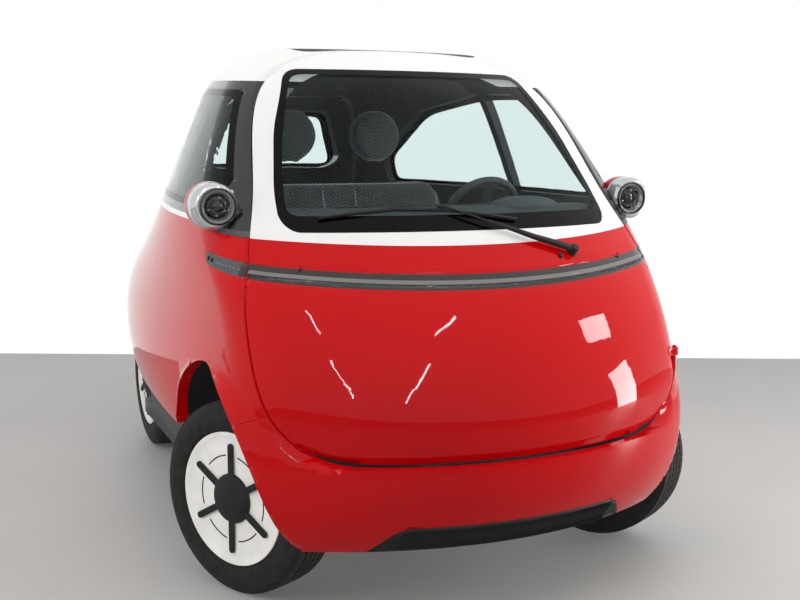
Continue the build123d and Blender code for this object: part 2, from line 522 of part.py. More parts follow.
for name, side in SIDES:
    front_at = (side * (KINGPIN_X + SCRUB * math.cos(turn)), KINGPIN_Y + side * SCRUB * math.sin(turn), HUB_Z)
    rear_at = (side * REAR_WHEEL_X, REAR_AXLE_Y, HUB_Z)
    flip = 0 if side > 0 else 180
    for end, at, angle in (("front", front_at, STEER_REST), ("rear", rear_at, 0)):
        for piece, solid in (("tyre", tyre), ("wheel", wheel), ("hub_cap", cap)):
            parts[f"{piece}_{end}_{name}"] = Pos(*at) * Rot(0, 0, angle + flip) * solid

# ---- seat ----
cushion = block(-SEAT_HALF, SEAT_HALF, *SEAT_Y, BATTERY[5] + SEAT_GAP, SEAT_TOP)
parts["seat_base"] = fillet(cushion.edges().group_by(Axis.Z)[-1], 30)
back = side_prism([(y, SEAT_TOP + SEAT_GAP + z) for y, z in SEAT_BACK], half=SEAT_HALF - 10)
back_top = SEAT_TOP + SEAT_BACK[-1][1]
back_outline = [(SEAT_HALF - 10, SEAT_TOP), (SEAT_HALF - 30, back_top + 20)]
parts["seat_back"] = back & front_prism(mirrored(back_outline), [0, 120, 120, 0], -200, 400)
rests = []
for side in (1, -1):
    rest = rod((side * HEADREST_X, HEADREST_Y - 45, HEADREST_Z), (side * HEADREST_X, HEADREST_Y + 45, HEADREST_Z), HEADREST_R)
    rest = fillet(rest.edges().filter_by(GeomType.CIRCLE), 20)
    for offset_x in (-30, 30):
        x = side * HEADREST_X + offset_x
        rest += rod((x, HEADREST_Y, back_top + SEAT_GAP), (x, HEADREST_Y, HEADREST_Z - 40), 6)
    rests.append(rest)
parts["headrests"] = Compound(children=rests)

# ---- steering wheel and column ----
wx, wy, wz = WHEEL_AT
tilt = math.radians(WHEEL_TILT)
wheel_plane = Plane(origin=WHEEL_AT, x_dir=(1, 0, 0), z_dir=(0, math.cos(tilt), math.sin(tilt)))
rim = wheel_plane * Torus(WHEEL_RIM_R, WHEEL_TUBE_R)
hub = wheel_plane * Pos(0, 0, -20) * extrude(Circle(38), amount=30)
grip = rim + hub
for angle in (90, 210, 330):
    spoke = Pos((38 + WHEEL_RIM_R) / 2 - 2, 0, -6) * Box(WHEEL_RIM_R - 30, 26, 10)
    grip += wheel_plane * Rot(0, 0, angle) * spoke
socket = wheel_plane * Pos(0, 0, -20) * extrude(Circle(10 + RUNNING), amount=20)
parts["steering_wheel"] = grip - socket
spindle = wheel_plane * Pos(0, 0, -60) * extrude(Circle(10), amount=58)
knee = Vector(*COLUMN_KNEE)
top = Vector(*WHEEL_AT) - Vector(0, math.cos(tilt), math.sin(tilt)) * 26
column = rod(top, knee, COLUMN_R) + Pos(*COLUMN_KNEE) * Sphere(COLUMN_R) + rod(knee, COLUMN_FOOT, COLUMN_R)
parts["steering_column"] = column - block(-FAR, FAR, -FAR, FAR, 0, FLOOR_Z[1]) + spindle

os.makedirs("parts", exist_ok=True)
for name, solid in parts.items():
    export_step(solid, f"parts/{name}.step")
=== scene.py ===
# %% [markdown]
# # A bubble microcar with one door across its nose
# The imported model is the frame: every node already has its real size and place in metres, and its
# moving bodies. Each cell below gives one piece or one finish of the car, and says why it is made so.

# %% Load the frame
import json
import math

import bpy
from mathutils import Matrix, Vector
from mathutils.bvhtree import BVHTree


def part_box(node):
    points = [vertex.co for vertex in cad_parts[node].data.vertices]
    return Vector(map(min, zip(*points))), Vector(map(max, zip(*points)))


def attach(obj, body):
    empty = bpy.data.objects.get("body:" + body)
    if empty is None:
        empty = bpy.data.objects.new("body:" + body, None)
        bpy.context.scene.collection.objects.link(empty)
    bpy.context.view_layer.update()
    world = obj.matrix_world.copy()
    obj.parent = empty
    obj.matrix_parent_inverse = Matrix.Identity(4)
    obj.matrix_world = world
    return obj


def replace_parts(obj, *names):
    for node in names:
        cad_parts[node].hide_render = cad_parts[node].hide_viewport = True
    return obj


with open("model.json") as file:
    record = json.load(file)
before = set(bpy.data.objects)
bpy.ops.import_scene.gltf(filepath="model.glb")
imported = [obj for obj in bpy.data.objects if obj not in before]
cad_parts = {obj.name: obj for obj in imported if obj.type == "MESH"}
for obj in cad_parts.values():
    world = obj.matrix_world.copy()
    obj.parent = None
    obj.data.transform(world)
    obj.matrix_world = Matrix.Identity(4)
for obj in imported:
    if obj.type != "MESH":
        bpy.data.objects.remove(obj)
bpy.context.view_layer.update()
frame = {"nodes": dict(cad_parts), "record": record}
NODES = frame["nodes"]
SLOT_OF = {row["node"]: row["material_slot"] for row in frame["record"]["subparts"]}
BODY_OF = {node: body for body, nodes in frame["record"]["behaviour"]["bodies"].items() for node in nodes}
MM = 0.001

# %% [markdown]
# ## Working by hand, from a script
# A Blender operator acts on whatever is selected, so each step first deselects everything and then
# picks one object, or picks faces by where they are and how they face. A finished piece keeps its
# place in its mesh, with its object at the origin, so it lines up with the CAD nodes round it.

# %% Picking and placing
def pick(obj):
    """Only this object is selected, and it is the active one."""
    bpy.ops.object.select_all(action="DESELECT")
    obj.select_set(True)
    bpy.context.view_layer.objects.active = obj


def settle(obj):
    """Moves the object's place, turn and scale into its mesh."""
    pick(obj)
    bpy.ops.object.transform_apply(location=True, rotation=True, scale=True)


def pick_faces(obj, test):
    """In edit mode, with only the faces selected whose centre and normal pass the test."""
    pick(obj)
    bpy.ops.object.mode_set(mode="EDIT")
    bpy.ops.mesh.select_mode(type="FACE")
    bpy.ops.mesh.select_all(action="DESELECT")
    bpy.ops.object.mode_set(mode="OBJECT")
    for face in obj.data.polygons:
        face.select = bool(test(face.center, face.normal))
    bpy.ops.object.mode_set(mode="EDIT")


def pick_all(obj):
    """In edit mode, with the whole mesh selected."""
    pick(obj)
    bpy.ops.object.mode_set(mode="EDIT")
    bpy.ops.mesh.select_all(action="SELECT")


def leave_edit():
    """Back to object mode."""
    bpy.ops.object.mode_set(mode="OBJECT")


def tidy_mesh(obj, outward=True):
    """Merges doubled points and turns the faces outward."""
    pick_all(obj)
    bpy.ops.mesh.remove_doubles(threshold=0.00001)
    if outward:
        bpy.ops.mesh.normals_make_consistent(inside=False)
    leave_edit()


def with_modifier(obj, kind, **settings):
    """Adds a modifier with these settings and applies it."""
    pick(obj)
    modifier = obj.modifiers.new(kind.title(), kind)
    for key, value in settings.items():
        setattr(modifier, key, value)
    bpy.ops.object.modifier_apply(modifier=modifier.name)


def block(place, size, bevel, segments=2, turn=(0, 0, 0)):
    """A bevelled box, added at its place and size."""
    bpy.ops.object.select_all(action="DESELECT")
    bpy.ops.mesh.primitive_cube_add(size=1, location=place, scale=size, rotation=turn)
    obj = bpy.context.object
    settle(obj)
    with_modifier(obj, "BEVEL", width=bevel, segments=segments)
    return obj


def copied(obj, name):
    """A second object at the origin, with a mesh of its own."""
    twin = bpy.data.objects.new(name, obj.data.copy())
    bpy.context.collection.objects.link(twin)
    return twin


def joined(objects):
    """One object made of several."""
    bpy.ops.object.select_all(action="DESELECT")
    for obj in objects:
        obj.select_set(True)
    bpy.context.view_layer.objects.active = objects[0]
    if len(objects) > 1:
        bpy.ops.object.join()
    return objects[0]


def done(obj, name, body, finish, smooth=35):
    """Names a finished piece, gives it its finish and lets it ride on its body."""
    settle(obj)
    obj.name = obj.data.name = name
    obj.data.materials.clear()
    obj.data.materials.append(finish)
    bpy.ops.object.shade_smooth_by_angle(angle=math.radians(smooth))
    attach(obj, body)
    return obj


# %% [markdown]
# ## Drawing a line and turning it
# Round things such as tyres, bezels and caps are half an outline turned about an axis. The outline
# starts as one vertex that is extruded from point to point, as with the E key, and then spun.

# %% Outlines and turned shapes
def drawn(points):
    """A line of edges through the points."""
    bpy.ops.object.select_all(action="DESELECT")
    bpy.ops.mesh.primitive_plane_add(size=0.01, location=points[0])
    obj = bpy.context.object
    settle(obj)
    bpy.ops.object.mode_set(mode="EDIT")
    bpy.ops.mesh.select_mode(type="VERT")
    bpy.ops.mesh.select_all(action="SELECT")
    bpy.ops.mesh.merge(type="CENTER")
    for here, there in zip(points, points[1:]):
        step = Vector(there) - Vector(here)
        bpy.ops.mesh.extrude_vertices_move(TRANSFORM_OT_translate={"value": step})
    leave_edit()
    return obj


def turned(outline, centre, axis, steps):
    """A solid of revolution from (along the axis, radius) pairs, about a line through the centre."""
    centre, axis = Vector(centre), Vector(axis).normalized()
    across = axis.orthogonal().normalized() if abs(axis.z) > 0.9 else Vector((0, 0, 1))
    across = (across - axis * across.dot(axis)).normalized()
    obj = drawn([centre + axis * along + across * radius for along, radius in outline])
    pick_all(obj)
    bpy.ops.mesh.spin(steps=steps, angle=math.tau, center=centre, axis=axis)
    leave_edit()
    tidy_mesh(obj)
    return obj


search_trees = {}


def cast(node, start, direction):
    """Where a line first meets a CAD node, and the surface's normal there, or two Nones."""
    if node not in search_trees:
        mesh = NODES[node].data
        search_trees[node] = BVHTree.FromPolygons([v.co for v in mesh.vertices],
                                                  [p.vertices for p in mesh.polygons])
    place, normal, _, _ = search_trees[node].ray_cast(Vector(start), Vector(direction))
    if place is None:
        return None, None
    return place, normal if normal.dot(Vector(direction)) < 0 else -normal


def skin_point(node, x, z):
    """Where a line from in front of the car meets a node."""
    return cast(node, (x, -3.0, z), (0, 1, 0))


def tube(points, radius, cyclic=False, sides=3):
    """A round bar along the line through the points."""
    curve = bpy.data.curves.new("line", "CURVE")
    curve.dimensions = "3D"
    spline = curve.splines.new("POLY")
    spline.points.add(len(points) - 1)
    for target, place in zip(spline.points, points):
        target.co = (*place, 1)
    spline.use_cyclic_u = cyclic
    curve.bevel_depth = radius
    curve.bevel_resolution = sides
    curve.use_fill_caps = True
    obj = bpy.data.objects.new("line", curve)
    bpy.context.collection.objects.link(obj)
    pick(obj)
    bpy.ops.object.convert(target="MESH")
    return obj


# %% [markdown]
# ## Bars that narrow
# A wiper arm, a spoke or a grille rib is a bar whose section changes on its way. It starts as a plane
# with its corners moved to the first section. The plane is extruded in place, once for each point of
# the line, and the four new corners go to the next section. A bevel rounds the edges.

# %% Tapered bars
TOP_SHARE = 0.62           # how wide a tapered bar's top is beside its foot


def section_at(points, n, wide, high):
    """The four corners of a bar's section at one of its points, each point a place and a normal."""
    place, normal = points[n]
    along = (points[min(n + 1, len(points) - 1)][0] - points[max(n - 1, 0)][0]).normalized()
    side = along.cross(normal).normalized()
    up = side.cross(along).normalized()
    return [place + side * (a * wide / 2) + up * (b * high / 2)
            for a, b in ((-1, -1), (1, -1), (TOP_SHARE, 1), (-TOP_SHARE, 1))]


def tapered(points, widths, heights):
    """A rounded bar along the points, with its width and height at each."""
    sections = [section_at(points, n, wide, high) for n, (wide, high) in enumerate(zip(widths, heights))]
    bpy.ops.object.select_all(action="DESELECT")
    bpy.ops.mesh.primitive_plane_add(size=1)
    obj = bpy.context.object
    vertices = obj.data.vertices
    for index, corner in zip(obj.data.polygons[0].vertices, sections[0]):
        vertices[index].co = corner
    for before, after in zip(sections, sections[1:]):
        bpy.ops.object.mode_set(mode="EDIT")
        bpy.ops.mesh.extrude_region_move()
        leave_edit()
        for vertex in vertices:
            if vertex.select:
                nearest = min(range(4), key=lambda k: (vertex.co - before[k]).length)
                vertex.co = after[nearest]
    tidy_mesh(obj)
    with_modifier(obj, "BEVEL", width=0.0012, segments=2, limit_method="ANGLE", angle_limit=math.radians(40))
    return obj


# %% [markdown]
# ## Finishes
# Every finish is a Principled shader. Its colours are written as sRGB hex values, which one function
# turns linear, and each pattern's scale comes from a real size in millimetres.

# %% Colour and node helpers
def colour(code):
    """An sRGB hex value as linear red, green, blue and alpha."""
    parts = [int(code[i:i + 2], 16) / 255 for i in (0, 2, 4)]
    return (*[c / 12.92 if c <= 0.04045 else ((c + 0.055) / 1.055) ** 2.4 for c in parts], 1)


def add(tree, kind, settings=None, inputs=None, links=None):
    """Adds a node with its settings, its input values and what is linked into it."""
    node = tree.nodes.new(kind)
    for key, value in (settings or {}).items():
        setattr(node, key, value)
    for key, value in (inputs or {}).items():
        node.inputs[key].default_value = value
    for key, socket in (links or {}).items():
        tree.links.new(socket, node.inputs[key])
    return node


def finish_of(name, base, **sockets):
    """A new material whose shader has this base colour and these sockets."""
    material = bpy.data.materials.new(name)
    material.use_nodes = True
    shader = material.node_tree.nodes["Principled BSDF"]
    shader.inputs["Base Color"].default_value = colour(base)
    for key, value in sockets.items():
        shader.inputs[key.replace("_", " ")].default_value = value
    return material, material.node_tree, shader


def per_metre(millimetres):
    """A noise scale whose features are about this wide."""
    return 1000 / millimetres


def grain(tree, shader, width_mm, depth_mm, detail=2.0):
    """Bump from noise of this width and depth, and the coordinates it reads."""
    coordinates = add(tree, "ShaderNodeTexCoord")
    noise = add(tree, "ShaderNodeTexNoise", inputs={"Scale": per_metre(width_mm), "Detail": detail},
                links={"Vector": coordinates.outputs["Object"]})
    bump = add(tree, "ShaderNodeBump", inputs={"Distance": depth_mm * MM, "Strength": 1.0},
               links={"Height": noise.outputs["Fac"]})
    tree.links.new(bump.outputs["Normal"], shader.inputs["Normal"])
    return coordinates


def mottled(tree, shader, coordinates, one, other, width_mm):
    """The base colour drifts between two near colours."""
    noise = add(tree, "ShaderNodeTexNoise", inputs={"Scale": per_metre(width_mm), "Detail": 3.0},
                links={"Vector": coordinates.outputs["Object"]})
    ramp = add(tree, "ShaderNodeValToRGB", links={"Fac": noise.outputs["Fac"]})
    for element, position, code in zip(ramp.color_ramp.elements, (0.35, 0.65), (one, other)):
        element.position, element.color = position, colour(code)
    tree.links.new(ramp.outputs["Color"], shader.inputs["Base Color"])


def grained(name, base, width_mm, depth_mm, drift=(), detail=2.0, **sockets):
    """A finish with a fine bump. The drift is two near colours and how wide their patches are."""
    material, tree, shader = finish_of(name, base, **sockets)
    coordinates = grain(tree, shader, width_mm, depth_mm, detail)
    if drift:
        mottled(tree, shader, coordinates, *drift)
    return material


# %% [markdown]
# ### Car paint
# The panels are pressed steel in solid colour under a clear lacquer. The lacquer is the shader's
# coat: it gives the sharp reflections, while the colour under it stays soft. Sprayed lacquer is never
# quite flat, so a very shallow bump, coarser than the real half-millimetre orange peel, breaks them.

# %% Red and white paint
red_paint = grained("red solid paint under lacquer", "B8030A", 14, 0.0003, ("C0030A", "BA0208", 600),
                    Roughness=0.45, Specular_IOR_Level=0.0, Coat_Weight=1.0, Coat_Roughness=0.03, Coat_IOR=1.28)
white_paint = grained("white solid paint under lacquer", "E4E3E0", 14, 0.0003, ("E6E5E2", "E1E0DD", 600),
                      Roughness=0.4, Specular_IOR_Level=0.2, Coat_Weight=1.0, Coat_Roughness=0.04, Coat_IOR=1.5)
wheel_paint = grained("white wheel enamel", "EDEBE6", 6, 0.02, ("EFEDE8", "E2E0DA", 90),
                      Roughness=0.34, Coat_Weight=0.5, Coat_Roughness=0.1)
print("paints", red_paint.name, white_paint.name, wheel_paint.name)

# %% [markdown]
# ### Plastics and rubber
# Gloss black ABS mirrors its surroundings, moulded trim has a spark-eroded grain one or two
# millimetres wide that scatters them, and tyre rubber is nearly matt with fine dust in it.

# %% Gloss black, trim, cabin plastic, rubber
black_gloss = grained("polished black ABS", "0B0B0C", 20, 0.01, ("0B0B0C", "101012", 300),
                      Roughness=0.08, Coat_Weight=0.4, Coat_Roughness=0.03)
black_trim = grained("grained black polypropylene", "0E0F10", 1.4, 0.02, ("0E0F10", "151617", 40),
                     Roughness=0.55, Specular_IOR_Level=0.35)
charcoal_trim = grained("grained charcoal cabin plastic", "1D2122", 2.2, 0.02, ("1D2122", "252A2B", 60),
                        Roughness=0.62, Specular_IOR_Level=0.3)
rubber = grained("tyre rubber", "161616", 2.0, 0.2, ("151515", "232220", 25), detail=5,
                 Roughness=0.78, Specular_IOR_Level=0.35)
strip_grey = grained("moulded dark grey plastic", "3C4144", 1.6, 0.05, ("3C4144", "44494C", 80), Roughness=0.42)
# Dull black painted shade: the dark inside wheel slots, strip holes, bar dividers, the grille opening and the
# demister slot.
painted_gap_shade = grained("unlit gap, dull black", "060606", 5, 0.2, Roughness=0.9)
print("plastics and rubber ready")

# %% [markdown]
# ### Metals
# The chassis is black powder coat, the axles bare machined steel and the motor housing cast
# aluminium. The lamp housings are silver lacquer on plastic, which looks like satin metal.

# %% Chassis, steel, alloy, lamp silver
chassis_paint = grained("black powder coat", "1B1C1E", 1.2, 0.08, ("1B1C1E", "26272A", 120), Roughness=0.5)
bare_steel = grained("machined steel", "8C8F92", 3, 0.03, ("8C8F92", "74777A", 30), detail=6,
                     Metallic=1.0, Roughness=0.34)
motor_alloy = grained("sand-cast aluminium", "A9ADB0", 2.5, 0.3, ("A9ADB0", "8F9396", 50), detail=5,
                      Metallic=1.0, Roughness=0.55)
ring_grey = grained("grey lacquer on plastic", "77736F", 10, 0.01, Metallic=0.4, Roughness=0.3)
lamp_silver = grained("silver lacquer on plastic", "C9CCCE", 10, 0.01, ("C9CCCE", "BCBFC2", 60),
                      Metallic=0.75, Roughness=0.2, Coat_Weight=0.6, Coat_Roughness=0.05)
print("metals ready")

# %% [markdown]
# ### Cloth
# The bench is covered in a charcoal weave. Two crossed sets of soft ripples stand for the yarns. They
# are 25 mm apart, far coarser than real yarns, which would be too fine to see from outside the car.

# %% Seat fabric
seat_fabric, tree, shader = finish_of("charcoal woven seat cloth", "1D2022", Roughness=0.9,
                                      Sheen_Weight=0.15, Sheen_Roughness=0.5)
coordinates = add(tree, "ShaderNodeTexCoord")
RADIAN_MM = 4              # one radian of a ripple, so a whole one is 2 pi times as long
RADIANS_AT_ONE = 20        # a wave texture of scale 1 turns through this many radians a metre
waves = [add(tree, "ShaderNodeTexWave", settings={"bands_direction": way, "wave_type": "BANDS"},
             inputs={"Scale": per_metre(RADIAN_MM) / RADIANS_AT_ONE, "Distortion": 3.0, "Detail": 2.0},
             links={"Vector": coordinates.outputs["Object"]}) for way in ("X", "Z")]
weave = add(tree, "ShaderNodeMath", settings={"operation": "MAXIMUM"},
            links={0: waves[0].outputs["Fac"], 1: waves[1].outputs["Fac"]})
bump = add(tree, "ShaderNodeBump", inputs={"Distance": 0.1 * MM, "Strength": 0.25},
           links={"Height": weave.outputs["Value"]})
tree.links.new(bump.outputs["Normal"], shader.inputs["Normal"])
mottled(tree, shader, coordinates, "1B1E20", "282C2E", 35)
thread = grained("pale sewing thread", "B9B7B0", 1, 0.2, Roughness=0.8)
print("cloth ready")

# %% [markdown]
# ### Glass with its black border
# The glass bends light less than real glass does, so the cabin doesn't drown in reflections of the
# white room. Car glass has a fired-on black border that hides the glue. It is paint on the glass, so
# it is drawn in the material: the distance to each straight edge of the pane is a dot product, the
# smallest of them is how far inside the pane a point lies, and a smooth minimum rounds the corners.

# %% Glass
def glass_finish(name, tint, edges=(), round_by=0.05, across="X"):
    """Clear glass, black where it is nearer to an edge than that edge's border.

    Each edge is ((a, z), (a, z), border): its two ends in the pane's flat view, clockwise, and the
    border's width. The flat view looks along Y, with left and right alike, or along X.
    """
    material, tree, shader = finish_of(name, tint, Roughness=0.0, IOR=1.12, Transmission_Weight=1.0)
    output = tree.nodes["Material Output"]
    clear = add(tree, "ShaderNodeBsdfTransparent", inputs={"Color": colour(tint)})
    paths = add(tree, "ShaderNodeLightPath")
    shadowless = add(tree, "ShaderNodeMixShader",
                     links={"Fac": paths.outputs["Is Shadow Ray"], 1: shader.outputs[0], 2: clear.outputs[0]})
    tree.links.new(shadowless.outputs[0], output.inputs["Surface"])
    if not edges:
        return material
    coordinates = add(tree, "ShaderNodeTexCoord")
    split = add(tree, "ShaderNodeSeparateXYZ", links={0: coordinates.outputs["Object"]})
    sideways = add(tree, "ShaderNodeMath", settings={"operation": "ABSOLUTE"}, links={0: split.outputs[across]})
    flat = sideways.outputs[0] if across == "X" else split.outputs[across]
    inside = None
    for (a0, z0), (a1, z1), border in edges:
        length = math.hypot(a1 - a0, z1 - z0)
        na, nz = (z1 - z0) / length, -(a1 - a0) / length
        along_a = add(tree, "ShaderNodeMath", settings={"operation": "MULTIPLY"}, inputs={1: na},
                      links={0: flat})
        depth = add(tree, "ShaderNodeMath", settings={"operation": "MULTIPLY_ADD"}, inputs={1: nz},
                    links={0: split.outputs["Z"], 2: along_a.outputs[0]})
        depth = add(tree, "ShaderNodeMath", settings={"operation": "ADD"},
                    inputs={1: -(a0 * na + z0 * nz) - border}, links={0: depth.outputs[0]})
        if inside is None:
            inside = depth
        else:
            inside = add(tree, "ShaderNodeMath", settings={"operation": "SMOOTH_MIN"}, inputs={2: round_by},
                         links={0: inside.outputs[0], 1: depth.outputs[0]})
    black = add(tree, "ShaderNodeMath", settings={"operation": "LESS_THAN"}, inputs={1: 0.0},
                links={0: inside.outputs[0]})
    ceramic = add(tree, "ShaderNodeBsdfPrincipled",
                  inputs={"Base Color": colour("040405"), "Roughness": 0.12, "Specular IOR Level": 0.12})
    painted = add(tree, "ShaderNodeMixShader",
                  links={"Fac": black.outputs[0], 1: shadowless.outputs[0], 2: ceramic.outputs[0]})
    tree.links.new(painted.outputs[0], output.inputs["Surface"])
    return material


def with_border(corners, border):
    """The edges from corner to corner, each with the border's width."""
    return [(here, there, border) for here, there in zip(corners, corners[1:])]


WINDSCREEN = [(0.0, 1.420), (0.375, 1.420), (0.452, 1.250), (0.492, 1.085), (0.502, 0.984), (0.0, 0.984)]
WINDSCREEN_BORDER = [0.016, 0.015, 0.015, 0.015, 0.040]
REAR_PANE = [(0.0, 1.322), (0.195, 1.322), (0.290, 1.092), (0.0, 1.092)]
SIDE_PANE = [(-0.640, 1.036), (-0.668, 1.105), (-0.474, 1.358), (-0.062, 1.374), (0.290, 1.322),
             (0.568, 1.156), (0.614, 1.042), (-0.640, 1.036)]
GLASS_TINT = "ECF6F5"
clear_glass = glass_finish("clear laminated glass", GLASS_TINT)
screen_glass = glass_finish("windscreen glass with fired black border", GLASS_TINT,
                            list(zip(WINDSCREEN, WINDSCREEN[1:], WINDSCREEN_BORDER)))
rear_pane_glass = glass_finish("rear glass with fired black border", GLASS_TINT, with_border(REAR_PANE, 0.018))
side_glass = glass_finish("side glass with fired black border", GLASS_TINT, with_border(SIDE_PANE, 0.016),
                          0.04, "Y")
lamp_glass = glass_finish("clear moulded lamp cover", "F2F6F8")
red_lens = grained("red lamp cover", "A00008", 6, 0.1, Roughness=0.12, Coat_Weight=0.8)
print("glass ready, windscreen border", WINDSCREEN_BORDER)

# %% [markdown]
# ## Panels
# A CAD node is loose triangles, so its curved panels look faceted. Each panel is a merged copy with
# its edges shaded sharp only where it really folds. Faces that look in at the cabin are its lining:
# they get the charcoal trim, so no white or red paint shows through the windscreen.

# %% Smooth copies of the CAD panels
FINISHES = {"red_paint": red_paint, "white_paint": white_paint, "wheel_paint": wheel_paint,
            "black_gloss": black_gloss, "black_trim": black_trim, "charcoal_trim": charcoal_trim,
            "glass": clear_glass, "tyre": rubber, "chassis_paint": chassis_paint, "bare_steel": bare_steel,
            "motor_alloy": motor_alloy, "lamp_silver": lamp_silver, "lamp_glass": lamp_glass,
            "seat_fabric": seat_fabric}
CABIN = Vector((0, 0, 0.85))       # the middle of the cabin
LOOKS_IN = 0.35                    # the least cosine between a lining face's normal and its way to the middle


def panel(node, name, finish=None, smooth=28):
    """A smooth piece that stands for a CAD node."""
    obj = copied(NODES[node], name)
    tidy_mesh(obj, outward=False)
    done(obj, name, BODY_OF[node], finish or FINISHES[SLOT_OF[node]], smooth)
    with_modifier(obj, "WEIGHTED_NORMAL", mode="FACE_AREA_WITH_ANGLE", weight=50, thresh=0.01, keep_sharp=True)
    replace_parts(obj, node)
    return obj


def lined(obj):
    """Faces that look at the cabin's middle get the charcoal lining."""
    obj.data.materials.append(charcoal_trim)
    for face in obj.data.polygons:
        if face.normal.dot((CABIN - face.center).normalized()) > LOOKS_IN:
            face.material_index = 1


OUTER = {"door_panel": "red_door_skin", "door_frame": "white_windscreen_surround",
         "flank_left": "red_flank_left", "flank_right": "red_flank_right", "roof": "white_roof",
         "window_frames": "black_side_window_frames", "hatch_frame": "white_hatch_surround",
         "hatch_panel": "red_hatch_skin", "front_bumper": "red_front_bumper",
         "rear_bumper": "red_rear_bumper", "sunroof": "folding_roof_cloth"}
OUTSIDE_ONLY = ("front_bumper", "rear_bumper", "sunroof")
panels = {node: panel(node, name) for node, name in OUTER.items()}
for node in OUTER:
    if node not in OUTSIDE_ONLY:
        lined(panels[node])
panel("windscreen", "windscreen_pane", screen_glass)
panel("rear_glass", "rear_pane", rear_pane_glass)
panel("side_windows", "side_panes", side_glass)
print("panels", len(OUTER), "and three panes")

# %% [markdown]
# ## Chassis and what hangs under the floor
# These are folded, welded and cast pieces. Their CAD solids have the right shape, and on the battery
# case, the motor, the axle beam and the front frame a small bevel catches the light along the edges,
# as a real folded or cast edge does.

# %% Chassis pieces
UNDER = {"floor_pan": "floor_tray", "boot_tub": "boot_lining", "battery_box": "battery_case",
         "drive_motor": "motor_housing", "front_subframe": "front_axle_frame", "rear_axle": "rear_axle_beam",
         "knuckle_left": "steering_knuckle_left", "knuckle_right": "steering_knuckle_right",
         "wheel_houses": "wheel_house_liners", "steering_column": "steering_column_cover"}
for node, name in UNDER.items():
    panels[node] = panel(node, name, smooth=35)
BEVEL_MM = {"battery_box": 6, "drive_motor": 8, "rear_axle": 2, "front_subframe": 2}
for node, width in BEVEL_MM.items():
    pick_all(panels[node])
    bpy.ops.mesh.dissolve_limited(angle_limit=math.radians(1))
    leave_edit()
    with_modifier(panels[node], "BEVEL", width=width * MM, segments=2, limit_method="ANGLE",
                  angle_limit=math.radians(50))
    bpy.ops.object.shade_smooth_by_angle(angle=math.radians(35))
print("chassis pieces", len(UNDER))

# %% [markdown]
# ## Motor fins
# An electric drive sheds its heat through cast fins. One fin is a block with its edges bevelled,
# and it is copied along the housing.

# %% Motor fins
FIN_STEP, FIN_THICK, FIN_DEEP = 0.024, 0.006, 0.012
FIN_INSET, FIN_SUNK = 0.020, 0.004         # from the housing's end, and into its face
low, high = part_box("drive_motor")
fin = block((low.x + FIN_INSET, low.y + FIN_SUNK - FIN_DEEP / 2, (low.z + high.z) / 2),
            (FIN_THICK, FIN_DEEP, (high.z - low.z) * 0.8), 0.002)
fins = []
for n in range(int((high.x - low.x - FIN_INSET) / FIN_STEP)):
    twin = copied(fin, f"fin_{n}")
    twin.location.x = n * FIN_STEP
    settle(twin)
    fins.append(twin)
bpy.data.objects.remove(fin)
print("fins", len(fins))
done(joined(fins), "motor_cooling_fins", "body", motor_alloy)

# %% [markdown]
# ## Tyres
# A 145/70 R13 tyre: a carcass spun from its cross-section, with the tread cut into blocks. Each
# tread face is inset and pushed out, which leaves the grooves between blocks. One tyre is made
# upright on the X axis, then copied to the four wheels.

# %% One tyre
TYRE_R, BEAD_R, GROOVE, PITCHES = 0.2665, 0.165, 0.006, 84
CARCASS_R = TYRE_R - GROOVE
GROOVES = ((0.0075, 0.0115), (0.0295, 0.0335))       # how far from the middle each groove begins and ends
TREAD_FROM_R, TREAD_HALF = 0.2535, 0.056
tyre_half = [(0.0570, BEAD_R + 0.0004), (0.0620, 0.184), (0.0665, 0.191), (0.0680, 0.1915), (0.0715, 0.205),
             (0.0725, 0.217), (0.0715, 0.2270), (0.0705, 0.2280), (0.0685, 0.2400), (0.0640, 0.2520),
             (0.0560, 0.2585)] + [(side, CARCASS_R) for ends in reversed(GROOVES) for side in reversed(ends)]
tyre_outline = tyre_half + [(-a, r) for a, r in reversed(tyre_half)] + [tyre_half[0]]


def on_tread(centre, normal):
    """Whether a face is part of a tread block."""
    band = abs(centre.x)
    in_groove = any(inner < band < outer for inner, outer in GROOVES)
    return math.hypot(centre.y, centre.z) > TREAD_FROM_R and band < TREAD_HALF and not in_groove


tyre = turned(tyre_outline, (0, 0, 0), (1, 0, 0), PITCHES)
pick_faces(tyre, on_tread)
bpy.ops.mesh.inset(thickness=0.0011, depth=GROOVE - 0.0012, use_individual=True)
leave_edit()
print("tyre faces", len(tyre.data.polygons))

# %% [markdown]
# ## Four wheels
# Each copy of the tyre is turned as its wheel is and moved to the middle of the CAD tyre. The disc and
# the black cap with six spokes are smooth copies of their CAD nodes.

# %% Tyres on their wheels
WHEELS = {"front_left": 28, "front_right": 208, "rear_left": 0, "rear_right": 180}     # degrees about Z


def on_wheel(obj, corner, name, finish):
    """A copy of a piece made about the origin, placed on one wheel."""
    low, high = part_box(f"tyre_{corner}")
    twin = copied(obj, name)
    turn = Matrix.Rotation(math.radians(WHEELS[corner]), 4, "Z")
    twin.matrix_world = Matrix.Translation((low + high) / 2) @ turn
    return done(twin, name, f"wheel_{corner}", finish)


for corner in WHEELS:
    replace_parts(on_wheel(tyre, corner, f"treaded_tyre_{corner}", rubber), f"tyre_{corner}")
    panel(f"wheel_{corner}", f"disc_wheel_{corner}", smooth=32)
    panel(f"hub_cap_{corner}", f"spoked_cap_{corner}", black_trim, smooth=32)
bpy.data.objects.remove(tyre)
print("wheels", list(WHEELS))
